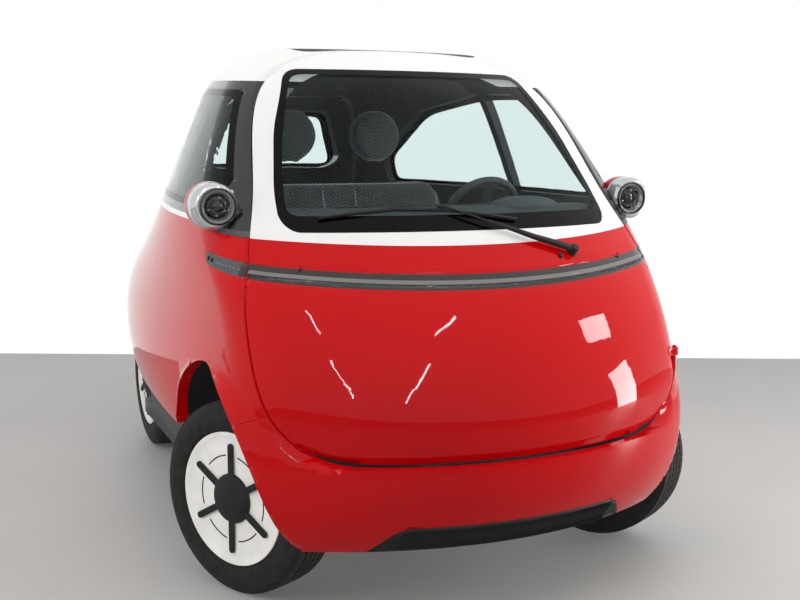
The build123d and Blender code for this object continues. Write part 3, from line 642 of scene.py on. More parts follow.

# %% [markdown]
# ## Dark slots in the wheel discs
# Between two black spokes the white disc has a thin arc-shaped slot. One slot is a flat band of dull
# black, painted shade of the slot, spun through part of a turn and rounded at its ends, laid a hair
# proud of the disc, and six make a ring.

# %% Wheel slots and valve
SLOT_R, SLOT_WIDE, SLOT_TURN, SLOT_STEPS, SPOKES = 0.118, 0.0035, 38, 12, 6
DISC_FACE = 0.0622                 # how far out from the wheel's middle the disc's face lies
VALVE_AT = (0, 0.105, 0.105)


def slot_point(degrees):
    """A point of the ring of slots."""
    turn = math.radians(degrees)
    return Vector((DISC_FACE, SLOT_R * math.sin(turn), SLOT_R * math.cos(turn)))


slots = []
for n in range(SPOKES):
    middle = (n + 0.5) * 360 / SPOKES
    points = [slot_point(middle + (k / SLOT_STEPS - 0.5) * SLOT_TURN) for k in range(SLOT_STEPS + 1)]
    slots.append(tube(points, SLOT_WIDE / 2, sides=2))
slots = joined(slots)
valve = turned([(0.060, 0.0), (0.060, 0.0045), (0.070, 0.0040), (0.0705, 0.0030), (0.080, 0.0030),
                (0.0805, 0.0)], VALVE_AT, (1, 0, 0), 12)
for corner in WHEELS:
    on_wheel(slots, corner, f"disc_slots_{corner}", painted_gap_shade)
    on_wheel(valve, corner, f"tyre_valve_{corner}", black_trim)
bpy.data.objects.remove(slots)
bpy.data.objects.remove(valve)
print("slots on", len(WHEELS), "wheels")

# %% [markdown]
# ## Lamps on stalks
# Each lamp is a pod with a red shell and a silver front. Its face holds, from the rim inward, a black
# bezel, a grey ring, a black projector bowl with small emitters in it and a clear cover over them, and
# four lugs hold the rim. All are round, so each is a turned outline of depth and radius.

# %% What fills a lamp's face
LENS_X, POD_X, POD_Y, POD_Z = 0.643, 0.650, -0.742, 1.048
INWARD = (0, 1, 0)         # the lamps look forward, so depths in their outlines run to the rear
BEZEL = [(0.006, 0.0436), (-0.004, 0.0440), (-0.0062, 0.0452), (-0.0062, 0.0476), (-0.0030, 0.0492),
         (0.0010, 0.0494), (0.006, 0.0436)]
GREY_RING = [(0.0128, 0.0434), (-0.0010, 0.0434), (-0.0010, 0.0405), (0.0065, 0.0352), (0.0128, 0.0352),
             (0.0128, 0.0434)]
BOWL = [(0.0125, 0.0350), (0.0060, 0.0350), (0.0050, 0.0335), (0.0110, 0.0270), (0.0110, 0.0205),
        (0.0040, 0.0195), (0.0030, 0.0180), (0.0040, 0.0165), (0.0075, 0.0155), (0.0050, 0.0110),
        (0.0030, 0.0060), (0.0024, 0.0), (0.0125, 0.0)]
EMITTER = [(0.003, 0.0), (0.003, 0.0030), (0.0, 0.0026), (-0.0015, 0.0014), (-0.0020, 0.0)]
COVER = [(0.0020, 0.0430), (-0.0025, 0.0428), (-0.0050, 0.0360), (-0.0068, 0.0240), (-0.0076, 0.0120),
         (-0.0078, 0.0), (-0.0058, 0.0), (-0.0050, 0.0200), (-0.0030, 0.0350), (0.0020, 0.0400),
         (0.0020, 0.0430)]
LUG = [(0.006, 0.0), (0.006, 0.0052), (-0.0005, 0.0046), (-0.0018, 0.0030), (-0.0008, 0.0)]


def in_a_ring(outline, centre, radius, depth, angles, steps):
    """Copies of one turned outline, at these angles round a lamp's middle."""
    pieces = []
    for angle in angles:
        across, up = radius * math.cos(math.radians(angle)), radius * math.sin(math.radians(angle))
        pieces.append(turned(outline, (centre[0] + across, POD_Y + depth, POD_Z + up), INWARD, steps))
    return joined(pieces)


def fill_face(side, sign):
    """The pieces in the face of the lamp on one side."""
    centre = (sign * LENS_X, POD_Y, POD_Z)
    done(turned(BEZEL, centre, INWARD, 64), f"lamp_bezel_{side}", "body", black_gloss)
    done(turned(GREY_RING, centre, INWARD, 64), f"lamp_grey_ring_{side}", "body", ring_grey)
    done(turned(BOWL, centre, INWARD, 48), f"lamp_projector_{side}", "body", black_gloss)
    emitters = in_a_ring(EMITTER, centre, 0.0235, 0.0095, (20, 75, 200, 265, 330), 12)
    done(emitters, f"lamp_emitters_{side}", "body", lamp_silver)
    cover = done(turned(COVER, centre, INWARD, 64), f"lamp_cover_{side}", "body", lamp_glass, 60)
    lugs = in_a_ring(LUG, centre, 0.0545, 0.0035, (45, 135, 225, 315), 8)
    done(lugs, f"lamp_front_lugs_{side}", "body", lamp_silver)
    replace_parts(cover, "lamp_lenses")


# %% [markdown]
# ### Lamp pods
# The shell is the CAD pod, cut across where the silver begins. A thin turned lip hides that cut, and
# faces near the body belong to the black stalk.

# %% Lamp pods
SILVER_ENDS, STALK_FROM_X = -0.690, 0.592
LIP = [(-0.0020, 0.0615), (-0.0020, 0.0632), (0.0005, 0.0640), (0.0022, 0.0632), (0.0022, 0.0612),
       (-0.0020, 0.0615)]
for side, sign in (("left", 1), ("right", -1)):
    pod = panel(f"lamp_pod_{side}", f"lamp_housing_{side}", red_paint, smooth=40)
    pick_all(pod)
    bpy.ops.mesh.bisect(plane_co=(0, SILVER_ENDS, 0), plane_no=(0, 1, 0))
    leave_edit()
    pod.data.materials.append(lamp_silver)
    pod.data.materials.append(black_gloss)
    for face in pod.data.polygons:
        if face.center.y < SILVER_ENDS:
            face.material_index = 1
        elif face.center.y > SILVER_ENDS and abs(face.center.x) < STALK_FROM_X:
            face.material_index = 2
    lip = turned(LIP, (sign * POD_X, SILVER_ENDS, POD_Z), INWARD, 64)
    done(lip, f"lamp_shell_seam_{side}", "body", lamp_silver)
    fill_face(side, sign)
print("lamps at", POD_X, POD_Y, POD_Z)

# %% [markdown]
# ## Thin pieces that lie on a panel
# A strip or a patch on a panel is cut from a copy of it by planes, keeps only the faces that look the
# right way, and gets its thickness outward. So it follows the panel's curve exactly.

# %% Cutting thin pieces from a panel
BAR_SLOPE, BAR_FROM, BAR_MIDDLE = 0.15, -1.05, 0.864
FACES_ALONG, FACES_UP = 0.25, 0.8          # how squarely a kept face looks along Y, and how far up or down
LAMP_GAP = 0.05                            # from the middle to each tail lamp


def patch_of(node, name, cuts, keep, thick, body, finish):
    """A thin piece on a node's surface. Each cut is a point and a direction, and all beyond it goes."""
    patch = copied(NODES[node], name)
    tidy_mesh(patch, outward=False)
    for place, beyond in cuts:
        pick_all(patch)
        bpy.ops.mesh.bisect(plane_co=place, plane_no=beyond, clear_outer=True)
        leave_edit()
    pick_faces(patch, lambda centre, normal: not keep(centre, normal))
    bpy.ops.mesh.delete(type="FACE")
    leave_edit()
    with_modifier(patch, "SOLIDIFY", thickness=thick, offset=1)
    return done(patch, name, body, finish)


def band_of(node, name, low_z, high_z, slope, keep, thick, body, finish):
    """A strip of a node between two heights, which slope towards the rear."""
    cuts = [((0, BAR_FROM, z), Vector((0, -slope, 1)) * sign) for z, sign in ((low_z, -1), (high_z, 1))]
    return patch_of(node, name, cuts, keep, thick, body, finish)


def from_front(centre, normal):
    """Faces that look ahead."""
    return normal.y < -FACES_ALONG and abs(normal.z) < FACES_UP


def tail_lamp(centre, normal):
    """Faces that look to the rear, save for the gap between the two lamps."""
    return normal.y > FACES_ALONG and abs(normal.z) < FACES_UP and abs(centre.x) > LAMP_GAP


# %% [markdown]
# ## Light bars
# A gloss black bar wraps the nose, with a thin silver strip along it, a clear window under the strip
# and a divider where each turn lamp starts. The hatch has a bar too, with red lamps. The strip and the
# window are cut by planes that slope as the bar does.

# %% Light bars
DIVIDERS, DIVIDER_Z = (-0.485, 0.470), BAR_MIDDLE + 0.030
panel("door_light_bar", "black_light_bar", black_gloss)
band_of("door_light_bar", "silver_light_strip", BAR_MIDDLE - 0.0045, BAR_MIDDLE + 0.0035, BAR_SLOPE,
        from_front, 0.0012, "door", ring_grey)
band_of("door_light_bar", "clear_light_window", BAR_MIDDLE - 0.0105, BAR_MIDDLE - 0.0065, BAR_SLOPE,
        from_front, 0.0008, "door", lamp_glass)
bars = []
for x in DIVIDERS:
    place, normal = skin_point("door_light_bar", x, DIVIDER_Z)
    half = Vector((-0.005 if x > 0 else 0.005, 0, 0.012))
    bars.append(tube([place + normal * 0.001 + half, place + normal * 0.001 - half], 0.0016))
# The dividers' dull black is painted shade of the gap where each turn lamp starts.
done(joined(bars), "light_bar_dividers", "door", painted_gap_shade)

panel("rear_light_bar", "black_rear_light_bar", black_gloss)
low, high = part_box("rear_light_bar")
band_of("rear_light_bar", "red_tail_lamps", low.z + 0.008, high.z - 0.008, 0.0, tail_lamp, 0.001,
        "hatch", red_lens)
print("light bars, dividers at", DIVIDERS)

# %% [markdown]
# ## Belt corners
# Between each lamp and the door's seam the black corner cover reaches down to a thin grey strip that
# lies on the belt. Both are thin pieces cut from a copy of the panel under them.

# %% Belt corners
BELT_Z, BELT_Y, BELT_SLOPE = 1.0, -0.56, 0.128 / 1.04
STRIP_TALL, CORNER_TALL, CORNER_TOP, CORNER_REAR = 0.013, 0.060, 1.0125, -0.700


def shows_ahead(centre, normal):
    """Outer faces, and the panel's cut edge that looks forward in the door's seam."""
    return (normal.x * centre.x > 0.02 or normal.y < -0.5) and centre.y < -0.5


def corner_patch(name, above_low, above_high, thick, finish):
    """A patch ahead of the lamps, between two heights above the belt line."""
    up = Vector((0, -BELT_SLOPE, 1))
    cuts = [((0, BELT_Y, BELT_Z + above_low), -up), ((0, BELT_Y, BELT_Z + above_high), up),
            ((0, 0, CORNER_TOP), (0, 0, 1)), ((0, CORNER_REAR, 0), (0, 1, 0))]
    return patch_of("roof", name, cuts, shows_ahead, thick, "body", finish)


corner_patch("black_belt_corners", STRIP_TALL, CORNER_TALL, 0.0006, black_gloss)
corner_patch("grey_belt_strips", 0.0, STRIP_TALL, 0.0014, strip_grey)
print("belt corners ahead of", CORNER_REAR)

# %% [markdown]
# ## Side strips
# Each flank carries a dark grey strip in line with the light bar, with two round holes near its rear
# end, a row of small raised dots, and a small black plate where it meets the door.

# %% Side strips
panel("side_strips", "grey_side_strips", strip_grey)
HOLES, HOLE_R = (-0.722, -0.742), 0.0062
HOLE = [(0.0006, HOLE_R), (0.0010, HOLE_R * 0.86), (0.0002, HOLE_R * 0.8), (0.0002, 0.0), (-0.002, 0.0),
        (-0.002, HOLE_R), (0.0006, HOLE_R)]
DOTS, FIRST_DOT, DOT_STEP = 7, -0.765, 0.0125
DOT = [(0.0007, 0.0), (0.0005, 0.0012), (-0.001, 0.0016)]
SENSOR_LONG, SENSOR_TALL, SENSOR_DEEP = 0.022, 0.032, 0.003
SENSOR_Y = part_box("side_strips")[0].y + SENSOR_LONG / 2 + 0.001


def on_strip(sign, y):
    """A point on the middle line of a side strip, and the normal there."""
    return cast("side_strips", (sign * 2, y, BAR_MIDDLE + BAR_SLOPE * (y - BAR_FROM)), (-sign, 0, 0))


holes, dots, sensors = [], [], []
for sign in (1, -1):
    holes += [turned(HOLE, *on_strip(sign, y), 24) for y in HOLES]
    dots += [turned(DOT, *on_strip(sign, FIRST_DOT - n * DOT_STEP), 8) for n in range(DOTS)]
    place, normal = on_strip(sign, SENSOR_Y)
    sensors.append(block(place, (SENSOR_DEEP, SENSOR_LONG, SENSOR_TALL), 0.001,
                         turn=normal.to_track_quat("X", "Z").to_euler()))
print("strip details", len(holes), len(dots), len(sensors))
# The holes' dull black is painted shade inside them.
done(joined(holes), "side_strip_holes", "body", painted_gap_shade)
done(joined(dots), "side_strip_dots", "body", lamp_silver)
done(joined(sensors), "side_strip_sensors", "body", black_gloss)

# %% [markdown]
# ## Lower grille
# The opening under the bumper is filled by thin upright ribs in a black frame. A rib is a slim bar
# from a foot to a head, both found on the grille's curve by a line cast at it. The frame is a tube
# through points cast along the opening's edge.

# %% Grille ribs and frame
# The bed behind the ribs is dull black: painted shade in the opening.
panel("grille", "grille_bed_in_painted_shade", painted_gap_shade)
RIB_STEP, RIB_WIDE, RIB_DEEP = 0.0075, 0.0030, 0.010
RIBS_FROM, RIBS_TO = 0.012, 0.010          # how far inside the grille's ends the ribs start and stop
GRILLE_LOW, GRILLE_HIGH, CORNER_SLOPE = 0.206, 0.272, 1.25
AHEAD = Vector((0, -1, 0))
low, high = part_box("grille")
ribs = []
x = low.x + RIBS_FROM
while x < high.x - RIBS_TO:
    foot, _ = skin_point("grille", x, GRILLE_LOW)
    head, _ = skin_point("grille", x, min(GRILLE_HIGH, GRILLE_LOW + (high.x - abs(x)) * CORNER_SLOPE))
    if head is not None:           # the ends of the opening are too low for a rib
        ribs.append(tapered([(place, AHEAD) for place in (foot, (foot + head) / 2, head)],
                            [RIB_WIDE] * 3, [RIB_DEEP] * 3))
    x += RIB_STEP
print("ribs", len(ribs))
ribs = joined(ribs)
settle(ribs)
with_modifier(ribs, "BEVEL", width=0.0008, segments=1)
done(ribs, "grille_ribs", "body", black_trim)

FRAME_R, FRAME_SUNK, FRAME_TOP = 0.0050, 0.002, 0.273
corner = [(0.364, GRILLE_LOW), (0.322, 0.258), (0.290, FRAME_TOP)]
frame_line = [(-x, z) for x, z in corner] + [(0.029 * n, FRAME_TOP) for n in range(-9, 10)] + corner[::-1]
frame_line += [(0.026 * n, GRILLE_LOW) for n in range(13, -14, -1)]
frame_points = []
for x, z in frame_line:
    place, normal = skin_point("grille", x, z)
    frame_points.append(place - normal * FRAME_SUNK)
done(tube(frame_points, FRAME_R, cyclic=True), "grille_frame", "body", black_trim, 60)

# %% [markdown]
# ## Tow cover
# A round cover in the bumper hides the towing eye. Only the thin gap round it shows, so it is one
# fine ring of darker red, painted shade of the gap, laid on the bumper's curve.

# %% Tow cover gap
TOW_X, TOW_Z, TOW_R = -0.340, 0.346, 0.024
# Dark red painted shade of the gap round the cover.
shaded_red = grained("red paint darkened as painted gap shade", "5E0306", 5, 0.05, Roughness=0.5)
points = []
for degrees in range(0, 360, 10):
    across, up = TOW_R * math.cos(math.radians(degrees)), TOW_R * math.sin(math.radians(degrees))
    place, normal = skin_point("front_bumper", TOW_X + across, TOW_Z + up)
    points.append(place - normal * 0.0001)
done(tube(points, 0.0005, cyclic=True), "tow_cover_gap", "body", shaded_red, 60)
print("tow cover gap radius", TOW_R)

# %% [markdown]
# ## Windscreen wiper
# One long arm swings from a boss at the car's left. Its cover is a pressing that narrows, so it is a
# tapered bar along a line of points. A thin rod hooks onto the blade, which lies along the glass with
# a rubber lip under it. All stand off the skin, found by casting a line at the panels.

# %% The wiper's line
def off_front(x, z, lift):
    """A point in front of whichever front panel is met first, and the normal there."""
    hits = [skin_point(node, x, z) for node in ("windscreen", "door_frame", "door_panel", "door_light_bar")]
    place, normal = min((hit for hit in hits if hit[0] is not None), key=lambda hit: hit[0].y)
    return place + normal * lift, normal


ARM_LINE = [(0.290, 0.919), (0.230, 0.937), (0.170, 0.955), (0.108, 0.977), (0.045, 0.998)]
ROD_LINE = [(0.050, 0.996), (-0.010, 1.018), (-0.062, 1.036), (-0.072, 1.042)]
BLADE_LINE = [(-0.403, 1.015), (-0.320, 1.026), (-0.200, 1.036), (-0.060, 1.033), (0.045, 1.019),
              (0.145, 1.005)]
ARM_LIFT, BLADE_LIFT, LIP_LIFT = 0.016, 0.009, 0.0030
print("wiper arm from", ARM_LINE[0], "to", ARM_LINE[-1])

# %% [markdown]
# ### Arm and blade
# The arm's cover and the blade's spine have a width and a height at each point of their lines, so both
# narrow as the real pressings do. The CAD wiper is hidden, and these pieces stand for it.

# %% Arm and blade
arm = tapered([off_front(x, z, ARM_LIFT) for x, z in ARM_LINE], [0.022, 0.020, 0.017, 0.014, 0.011],
              [0.012, 0.011, 0.010, 0.008, 0.007])
done(arm, "wiper_arm_cover", "door", black_trim)
rod = tube([off_front(x, z, ARM_LIFT - 0.001)[0] for x, z in ROD_LINE], 0.0032)
done(rod, "wiper_rod", "door", black_trim, 60)
blade = tapered([off_front(x, z, BLADE_LIFT) for x, z in BLADE_LINE],
                [0.007, 0.011, 0.012, 0.012, 0.011, 0.007], [0.005, 0.007, 0.008, 0.008, 0.007, 0.005])
done(blade, "wiper_blade_spine", "door", black_trim)
lip = tapered([off_front(x, z, LIP_LIFT) for x, z in BLADE_LINE], [0.003] * 6, [0.006] * 6)
done(lip, "wiper_rubber_lip", "door", rubber)
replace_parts(arm, "wiper")
print("blade of", len(BLADE_LINE), "points")

# %% [markdown]
# ### Boss, clip and washer nozzle
# The arm turns on a round boss, a clip holds the blade, and a nozzle near the boss sprays the glass.
# The boss and the nozzle are turned outlines that stand square to the skin.

# %% Boss, clip and washer nozzle
BOSS = [(-0.004, 0.0), (-0.004, 0.0150), (0.004, 0.0150), (0.010, 0.0130), (0.020, 0.0125),
        (0.0245, 0.0105), (0.0255, 0.0060), (0.0255, 0.0)]
NOZZLE = [(-0.003, 0.0), (-0.003, 0.0085), (0.002, 0.0085), (0.006, 0.0065), (0.0075, 0.0030), (0.0075, 0.0)]
boss = turned(BOSS, *off_front(*ARM_LINE[0], 0.0), 32)
done(boss, "wiper_pivot_boss", "door", black_trim)
place, normal = off_front(-0.068, 1.038, BLADE_LIFT)
clip = tapered([(place + Vector((dx, 0, dx * -0.1)) + normal * 0.006, normal) for dx in (-0.02, 0.0, 0.02)],
               [0.012, 0.015, 0.012], [0.006, 0.010, 0.006])
done(clip, "wiper_blade_clip", "door", black_trim)
nozzle = turned(NOZZLE, *off_front(0.245, 0.912, 0.0), 24)
done(nozzle, "washer_nozzle", "door", black_trim)
print("boss at", ARM_LINE[0])

# %% [markdown]
# ## Dash shelf
# The shelf inside the door carries a low hump ahead of the steering wheel, with a small dark screen
# behind it, and a demister slot along the glass. The shelf is a smooth copy of its CAD node, the hump
# is a sphere flattened to a pebble, and the screen and the slot are bevelled blocks.

# %% Dash shelf and its hump
HUMP_X = 0.27
panel("door_shelf", "dash_shelf", charcoal_trim)
shelf_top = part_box("door_shelf")[1].z
bpy.ops.object.select_all(action="DESELECT")
bpy.ops.mesh.primitive_uv_sphere_add(segments=48, ring_count=24, radius=1,
                                     location=(HUMP_X, -0.735, shelf_top - 0.004), scale=(0.115, 0.045, 0.030))
done(bpy.context.object, "instrument_hump", "door", charcoal_trim, 60)
screen = block((HUMP_X, -0.712, shelf_top + 0.012), (0.120, 0.022, 0.020), 0.006, 3)
done(screen, "instrument_screen", "door", black_gloss)
# The slot is dull black: painted shade inside it.
slot = block((0, -0.722, shelf_top + 0.001), (0.62, 0.014, 0.005), 0.0022)
done(slot, "demister_slot", "door", painted_gap_shade)
print("shelf top", shelf_top)

# %% [markdown]
# ## Steering wheel
# A padded rim on one wide spoke, which points straight up here, and two narrow ones. The rim is spun
# from a round section about the column's axis, and a spoke is a tapered bar from hub to rim.

# %% Steering wheel
WHEEL_AT, WHEEL_TILT = Vector((0.270, -0.470, 1.000)), math.radians(33)
RIM_R, RIM_TUBE, RIM_SIDES = 0.115, 0.0125, 16
HUB = [(-0.020, 0.0), (-0.020, 0.034), (-0.004, 0.038), (0.006, 0.036), (0.010, 0.026), (0.0112, 0.0)]
wheel_axis = Vector((0, math.cos(WHEEL_TILT), math.sin(WHEEL_TILT)))
wheel_up = Vector((0, -math.sin(WHEEL_TILT), math.cos(WHEEL_TILT)))
turns = [math.tau * n / RIM_SIDES for n in range(RIM_SIDES + 1)]
section = [(RIM_TUBE * math.sin(turn), RIM_R + RIM_TUBE * math.cos(turn)) for turn in turns]
rim = turned(section, WHEEL_AT, wheel_axis, 72)
done(rim, "steering_wheel_rim", "steering_wheel", charcoal_trim, 60)
hub = turned(HUB, WHEEL_AT, wheel_axis, 48)
done(hub, "steering_wheel_hub", "steering_wheel", charcoal_trim)
spokes = []
for degrees, wide in ((0, 0.050), (120, 0.026), (240, 0.026)):
    reach = Matrix.Rotation(math.radians(degrees), 3, wheel_axis) @ wheel_up
    points = [(WHEEL_AT + reach * along - wheel_axis * 0.006, wheel_axis)
              for along in (0.025, 0.06, 0.085, 0.108)]
    spokes.append(tapered(points, [wide, wide * 0.8, wide * 0.8, wide * 1.1], [0.010, 0.009, 0.009, 0.012]))
done(joined(spokes), "steering_wheel_spokes", "steering_wheel", charcoal_trim)
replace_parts(rim, "steering_wheel")
print("steering wheel", WHEEL_AT)

# %% [markdown]
# ## The bench
# The cushion, the back and the headrests are foam under a woven cover. Each starts from the CAD block,
# drawn in a little and remade of small even faces, and a cloth simulation blows it up slightly: the
# middle crowns and the sides pull in between the corners. No point may move further than a cap, so
# the cushion keeps its place.

# %% Cushions
PUFF_FRAMES, PUFF_CAP, PUFF_PRESSURE, VOXEL = 20, 0.010, 4, 0.012


def puffed(node, name, shrink):
    """A soft piece that stands for a CAD block, drawn in by the shrink on every side first."""
    obj = copied(NODES[node], name)
    tidy_mesh(obj, outward=False)
    low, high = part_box(node)
    middle = (low + high) / 2
    for vertex in obj.data.vertices:
        away = vertex.co - middle
        for axis in range(3):
            away[axis] *= 1 - shrink / ((high[axis] - low[axis]) / 2)
        vertex.co = middle + away
    with_modifier(obj, "REMESH", mode="VOXEL", voxel_size=VOXEL)
    start = [vertex.co.copy() for vertex in obj.data.vertices]
    pick(obj)
    cloth = obj.modifiers.new("Cloth", "CLOTH")
    cloth.settings.use_pressure = True
    cloth.settings.uniform_pressure_force = PUFF_PRESSURE
    cloth.settings.effector_weights.gravity = 0
    for step in range(1, PUFF_FRAMES + 1):
        bpy.context.scene.frame_set(step)
    bpy.ops.object.modifier_apply(modifier=cloth.name)
    for vertex, before in zip(obj.data.vertices, start):
        move = vertex.co - before
        if move.length > PUFF_CAP:
            vertex.co = before + move * (PUFF_CAP / move.length)
    bpy.context.scene.frame_set(1)
    with_modifier(obj, "SMOOTH", factor=0.5, iterations=4)
    with_modifier(obj, "SUBSURF", levels=1, render_levels=1)
    done(obj, name, BODY_OF[node], seat_fabric, 80)
    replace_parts(obj, node)
    print(name, len(obj.data.polygons), "faces")
    return obj


puffed("seat_base", "bench_cushion", 0.006)
backrest = puffed("seat_back", "bench_backrest", 0.006)
puffed("headrests", "round_headrests", 0.003)

# %% [markdown]
# ### Seams
# Rows of pale stitches run down the front of the backrest, two near its middle and one near each
# end. Each stitch is a short bar between points cast onto the finished cushion, so it lies on the cloth.

# %% Stitched seams
bpy.context.view_layer.update()
STITCH, STITCH_STEP = 0.007, 0.011
ROWS, ROW_TOP, ROW_POINTS = (-0.375, -0.060, 0.060, 0.375), 1.045, 34
stitches = []
for x in ROWS:
    last = None
    for n in range(ROW_POINTS):
        z = ROW_TOP - n * STITCH_STEP
        hit, place, normal, _ = backrest.ray_cast(Vector((x, -1, z)), Vector((0, 1, 0)))
        if hit:
            top = place + normal * 0.0004
            if last is not None:
                way = (top - last).normalized()
                stitches.append(tube([top - way * STITCH / 2, top + way * STITCH / 2], 0.0008, sides=0))
            last = top
print("stitches", len(stitches))
done(joined(stitches), "backrest_stitches", "body", thread, 60)

# %% [markdown]
# ## Hatch seal
# A soft rubber tube lies inside the top edge of the hatch opening. It closes the gap, so no daylight
# shows through it when one looks in through the windscreen.

# %% Hatch seal
SEAL_R, SEAL_Z, SEAL_AHEAD, SEAL_STEP = 0.011, 1.376, 0.014, 0.024
EDGE_Z = 1.362                     # a height at which the hatch frame's edge is met
points = []
for n in range(-9, 10):
    place, _ = cast("hatch_frame", (n * SEAL_STEP, 0.3, EDGE_Z), (0, 1, 0))
    points.append(Vector((place.x, place.y - SEAL_AHEAD, SEAL_Z)))
print("seal points", len(points))
done(tube(points, SEAL_R), "hatch_top_seal", "body", rubber, 60)

# %% [markdown]
# ## Camera
# The camera stands ahead of the car's right corner, a little below its roof, and looks slightly down.
# Its three angles make three directions at right angles, which are the columns of its matrix.

# %% Camera
CAMERA_AT = Vector((-1.376, -3.570, 1.246))
YAW, PITCH, ROLL = 0.41634, 0.15105, 0.00701       # radians: round to the right, down, clockwise
LENS, SENSOR = 50.0, 36.0
forward = Vector((math.sin(YAW) * math.cos(PITCH), math.cos(YAW) * math.cos(PITCH), -math.sin(PITCH)))
right = Vector((math.cos(YAW), -math.sin(YAW), 0))
up = right.cross(forward)
right, up = right * math.cos(ROLL) + up * math.sin(ROLL), up * math.cos(ROLL) - right * math.sin(ROLL)
bpy.ops.object.camera_add(location=CAMERA_AT)
camera = bpy.context.object
camera.data.lens, camera.data.sensor_width = LENS, SENSOR
turn = Matrix((right, up, -forward)).transposed().to_4x4()
camera.matrix_world = Matrix.Translation(CAMERA_AT) @ turn
bpy.context.scene.camera = camera
print("camera at", CAMERA_AT, "lens", LENS)

# %% [markdown]
# ## Floor
# The car stands on a plain pale grey painted floor. Its far edge is square to the camera, and is the
# line where a white wall would start.

# %% Floor
WALL_AT, FLOOR_HALF = 6.1, 9.0         # how far ahead of the camera the floor ends, and half its side
floor_paint = grained("pale grey floor paint", "B4B2AF", 8, 0.1, ("B2B0AD", "B7B5B2", 900), Roughness=0.55)
bpy.ops.object.select_all(action="DESELECT")
level = Vector((forward.x, forward.y, 0)).normalized()
middle = Vector((CAMERA_AT.x, CAMERA_AT.y, 0)) + level * (WALL_AT - FLOOR_HALF)
bpy.ops.mesh.primitive_plane_add(size=2 * FLOOR_HALF, location=middle, rotation=(0, 0, -YAW))
floor = bpy.context.object
settle(floor)
floor.name = "floor"
floor.data.materials.append(floor_paint)
print("floor ends", WALL_AT, "m ahead")

# %% [markdown]
# ## White surroundings
# The world is white to the camera, to reflections and through glass. Its soft light on the car is a
# second shader, dim from the front and brighter from behind, so the white never comes from more light.

# %% World
bpy.context.scene.view_settings.view_transform = "Standard"
LIGHT_FROM_FRONT, LIGHT_FROM_BACK = 0.12, 0.80
world = bpy.data.worlds.new("white room")
bpy.context.scene.world = world
world.use_nodes = True
tree = world.node_tree
tree.nodes.clear()
paths = add(tree, "ShaderNodeLightPath")
seen = paths.outputs["Is Camera Ray"]
for kind in ("Is Transmission Ray", "Is Glossy Ray"):
    either = add(tree, "ShaderNodeMath", settings={"operation": "MAXIMUM"},
                 links={0: seen, 1: paths.outputs[kind]})
    seen = either.outputs[0]
white = add(tree, "ShaderNodeBackground", inputs={"Color": (1, 1, 1, 1), "Strength": 1.0})
towards = add(tree, "ShaderNodeTexCoord")
split = add(tree, "ShaderNodeSeparateXYZ", links={0: towards.outputs["Generated"]})
shade = add(tree, "ShaderNodeMapRange", settings={"interpolation_type": "SMOOTHSTEP"},
            inputs={"From Min": -0.75, "From Max": 0.15, "To Min": LIGHT_FROM_FRONT, "To Max": LIGHT_FROM_BACK},
            links={"Value": split.outputs["Y"]})
room = add(tree, "ShaderNodeBackground", inputs={"Color": (0.95, 0.97, 1.0, 1)},
           links={"Strength": shade.outputs["Result"]})
mixed = add(tree, "ShaderNodeMixShader", links={"Fac": seen, 1: room.outputs[0], 2: white.outputs[0]})
add(tree, "ShaderNodeOutputWorld", links={"Surface": mixed.outputs[0]})
print("world ready")

# %% [markdown]
# ## Studio lights
# One broad soft light hangs overhead and one fills each side. They don't show in reflections.

# %% Soft lights
def soft_light(name, place, aim, wide, high, watts, mirrored=False):
    """A rectangular lamp that looks at its aim. Only a mirrored one shows in reflections."""
    light = bpy.data.lights.new(name, "AREA")
    light.shape, light.size, light.size_y, light.energy = "RECTANGLE", wide, high, watts
    obj = bpy.data.objects.new(name, light)
    bpy.context.collection.objects.link(obj)
    obj.location = place
    obj.rotation_euler = (Vector(aim) - Vector(place)).to_track_quat("-Z", "Y").to_euler()
    obj.visible_glossy = mirrored
    return obj


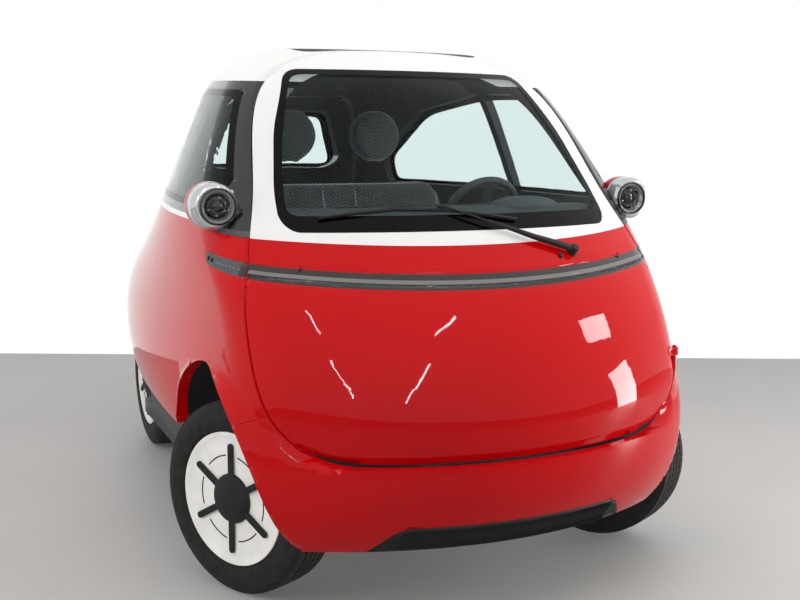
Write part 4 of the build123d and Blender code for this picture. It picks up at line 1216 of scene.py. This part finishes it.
soft_light("overhead softbox", (0.2, -1.2, 3.6), (0, 0, 0.6), 4.0, 3.0, 46)
soft_light("left fill", (4.2, -2.2, 2.0), (0, 0, 0.7), 2.5, 2.5, 36)
soft_light("right fill", (-4.5, -0.8, 2.2), (0, 0, 0.7), 3.0, 3.0, 88)
print("soft lights placed")

# %% [markdown]
# ### Glints on the door
# Two window-like panels and four tubes are placed where the nose mirrors them: from the camera to the
# two ends of each glint on the door, off its surface, and out along the reflections.

# %% Glints on the door
AWAY = 3.0                 # how far from the door a mirrored lamp stands
WINDOW_WIDE, WINDOW_BRIGHT, TUBE_WIDE, TUBE_BRIGHT = 0.55, 21, 0.03, 60
WINDOWS = {"window glint high": ((0.273, 0.766), (0.288, 0.708)),
           "window glint low": ((0.310, 0.631), (0.338, 0.516))}
TUBES = {"tube glint left high": ((-0.494, 0.809), (-0.473, 0.756)),
         "tube glint left low": ((-0.457, 0.695), (-0.416, 0.606)),
         "tube glint right high": ((-0.135, 0.795), (-0.188, 0.747)),
         "tube glint right low": ((-0.235, 0.688), (-0.302, 0.595))}


def mirrored_from(x, z):
    """The spot at x, z on the door, and the place whose light it mirrors to the camera."""
    place, normal = skin_point("door_panel", x, z)
    sight = (place - CAMERA_AT).normalized()
    return place, place + (sight - normal * 2 * sight.dot(normal)) * AWAY


def glint(name, top, bottom, wide, brightness):
    """A lamp whose reflection runs between two spots on the door, each an x and a z."""
    (first, high), (second, low) = mirrored_from(*top), mirrored_from(*bottom)
    place, aim, tall = (high + low) / 2, (first + second) / 2, (high - low).length
    light = soft_light(name, place, aim, wide, tall, brightness * math.pi * wide * tall, mirrored=True)
    back = (place - aim).normalized()
    along = (high - low).normalized()
    along = (along - back * along.dot(back)).normalized()
    light.rotation_euler = Matrix((along.cross(back), along, back)).transposed().to_euler()
    light.data.use_shadow = False


for name, ends in WINDOWS.items():
    glint(name, *ends, WINDOW_WIDE, WINDOW_BRIGHT)
for name, ends in TUBES.items():
    glint(name, *ends, TUBE_WIDE, TUBE_BRIGHT)
print("glints", len(WINDOWS) + len(TUBES))
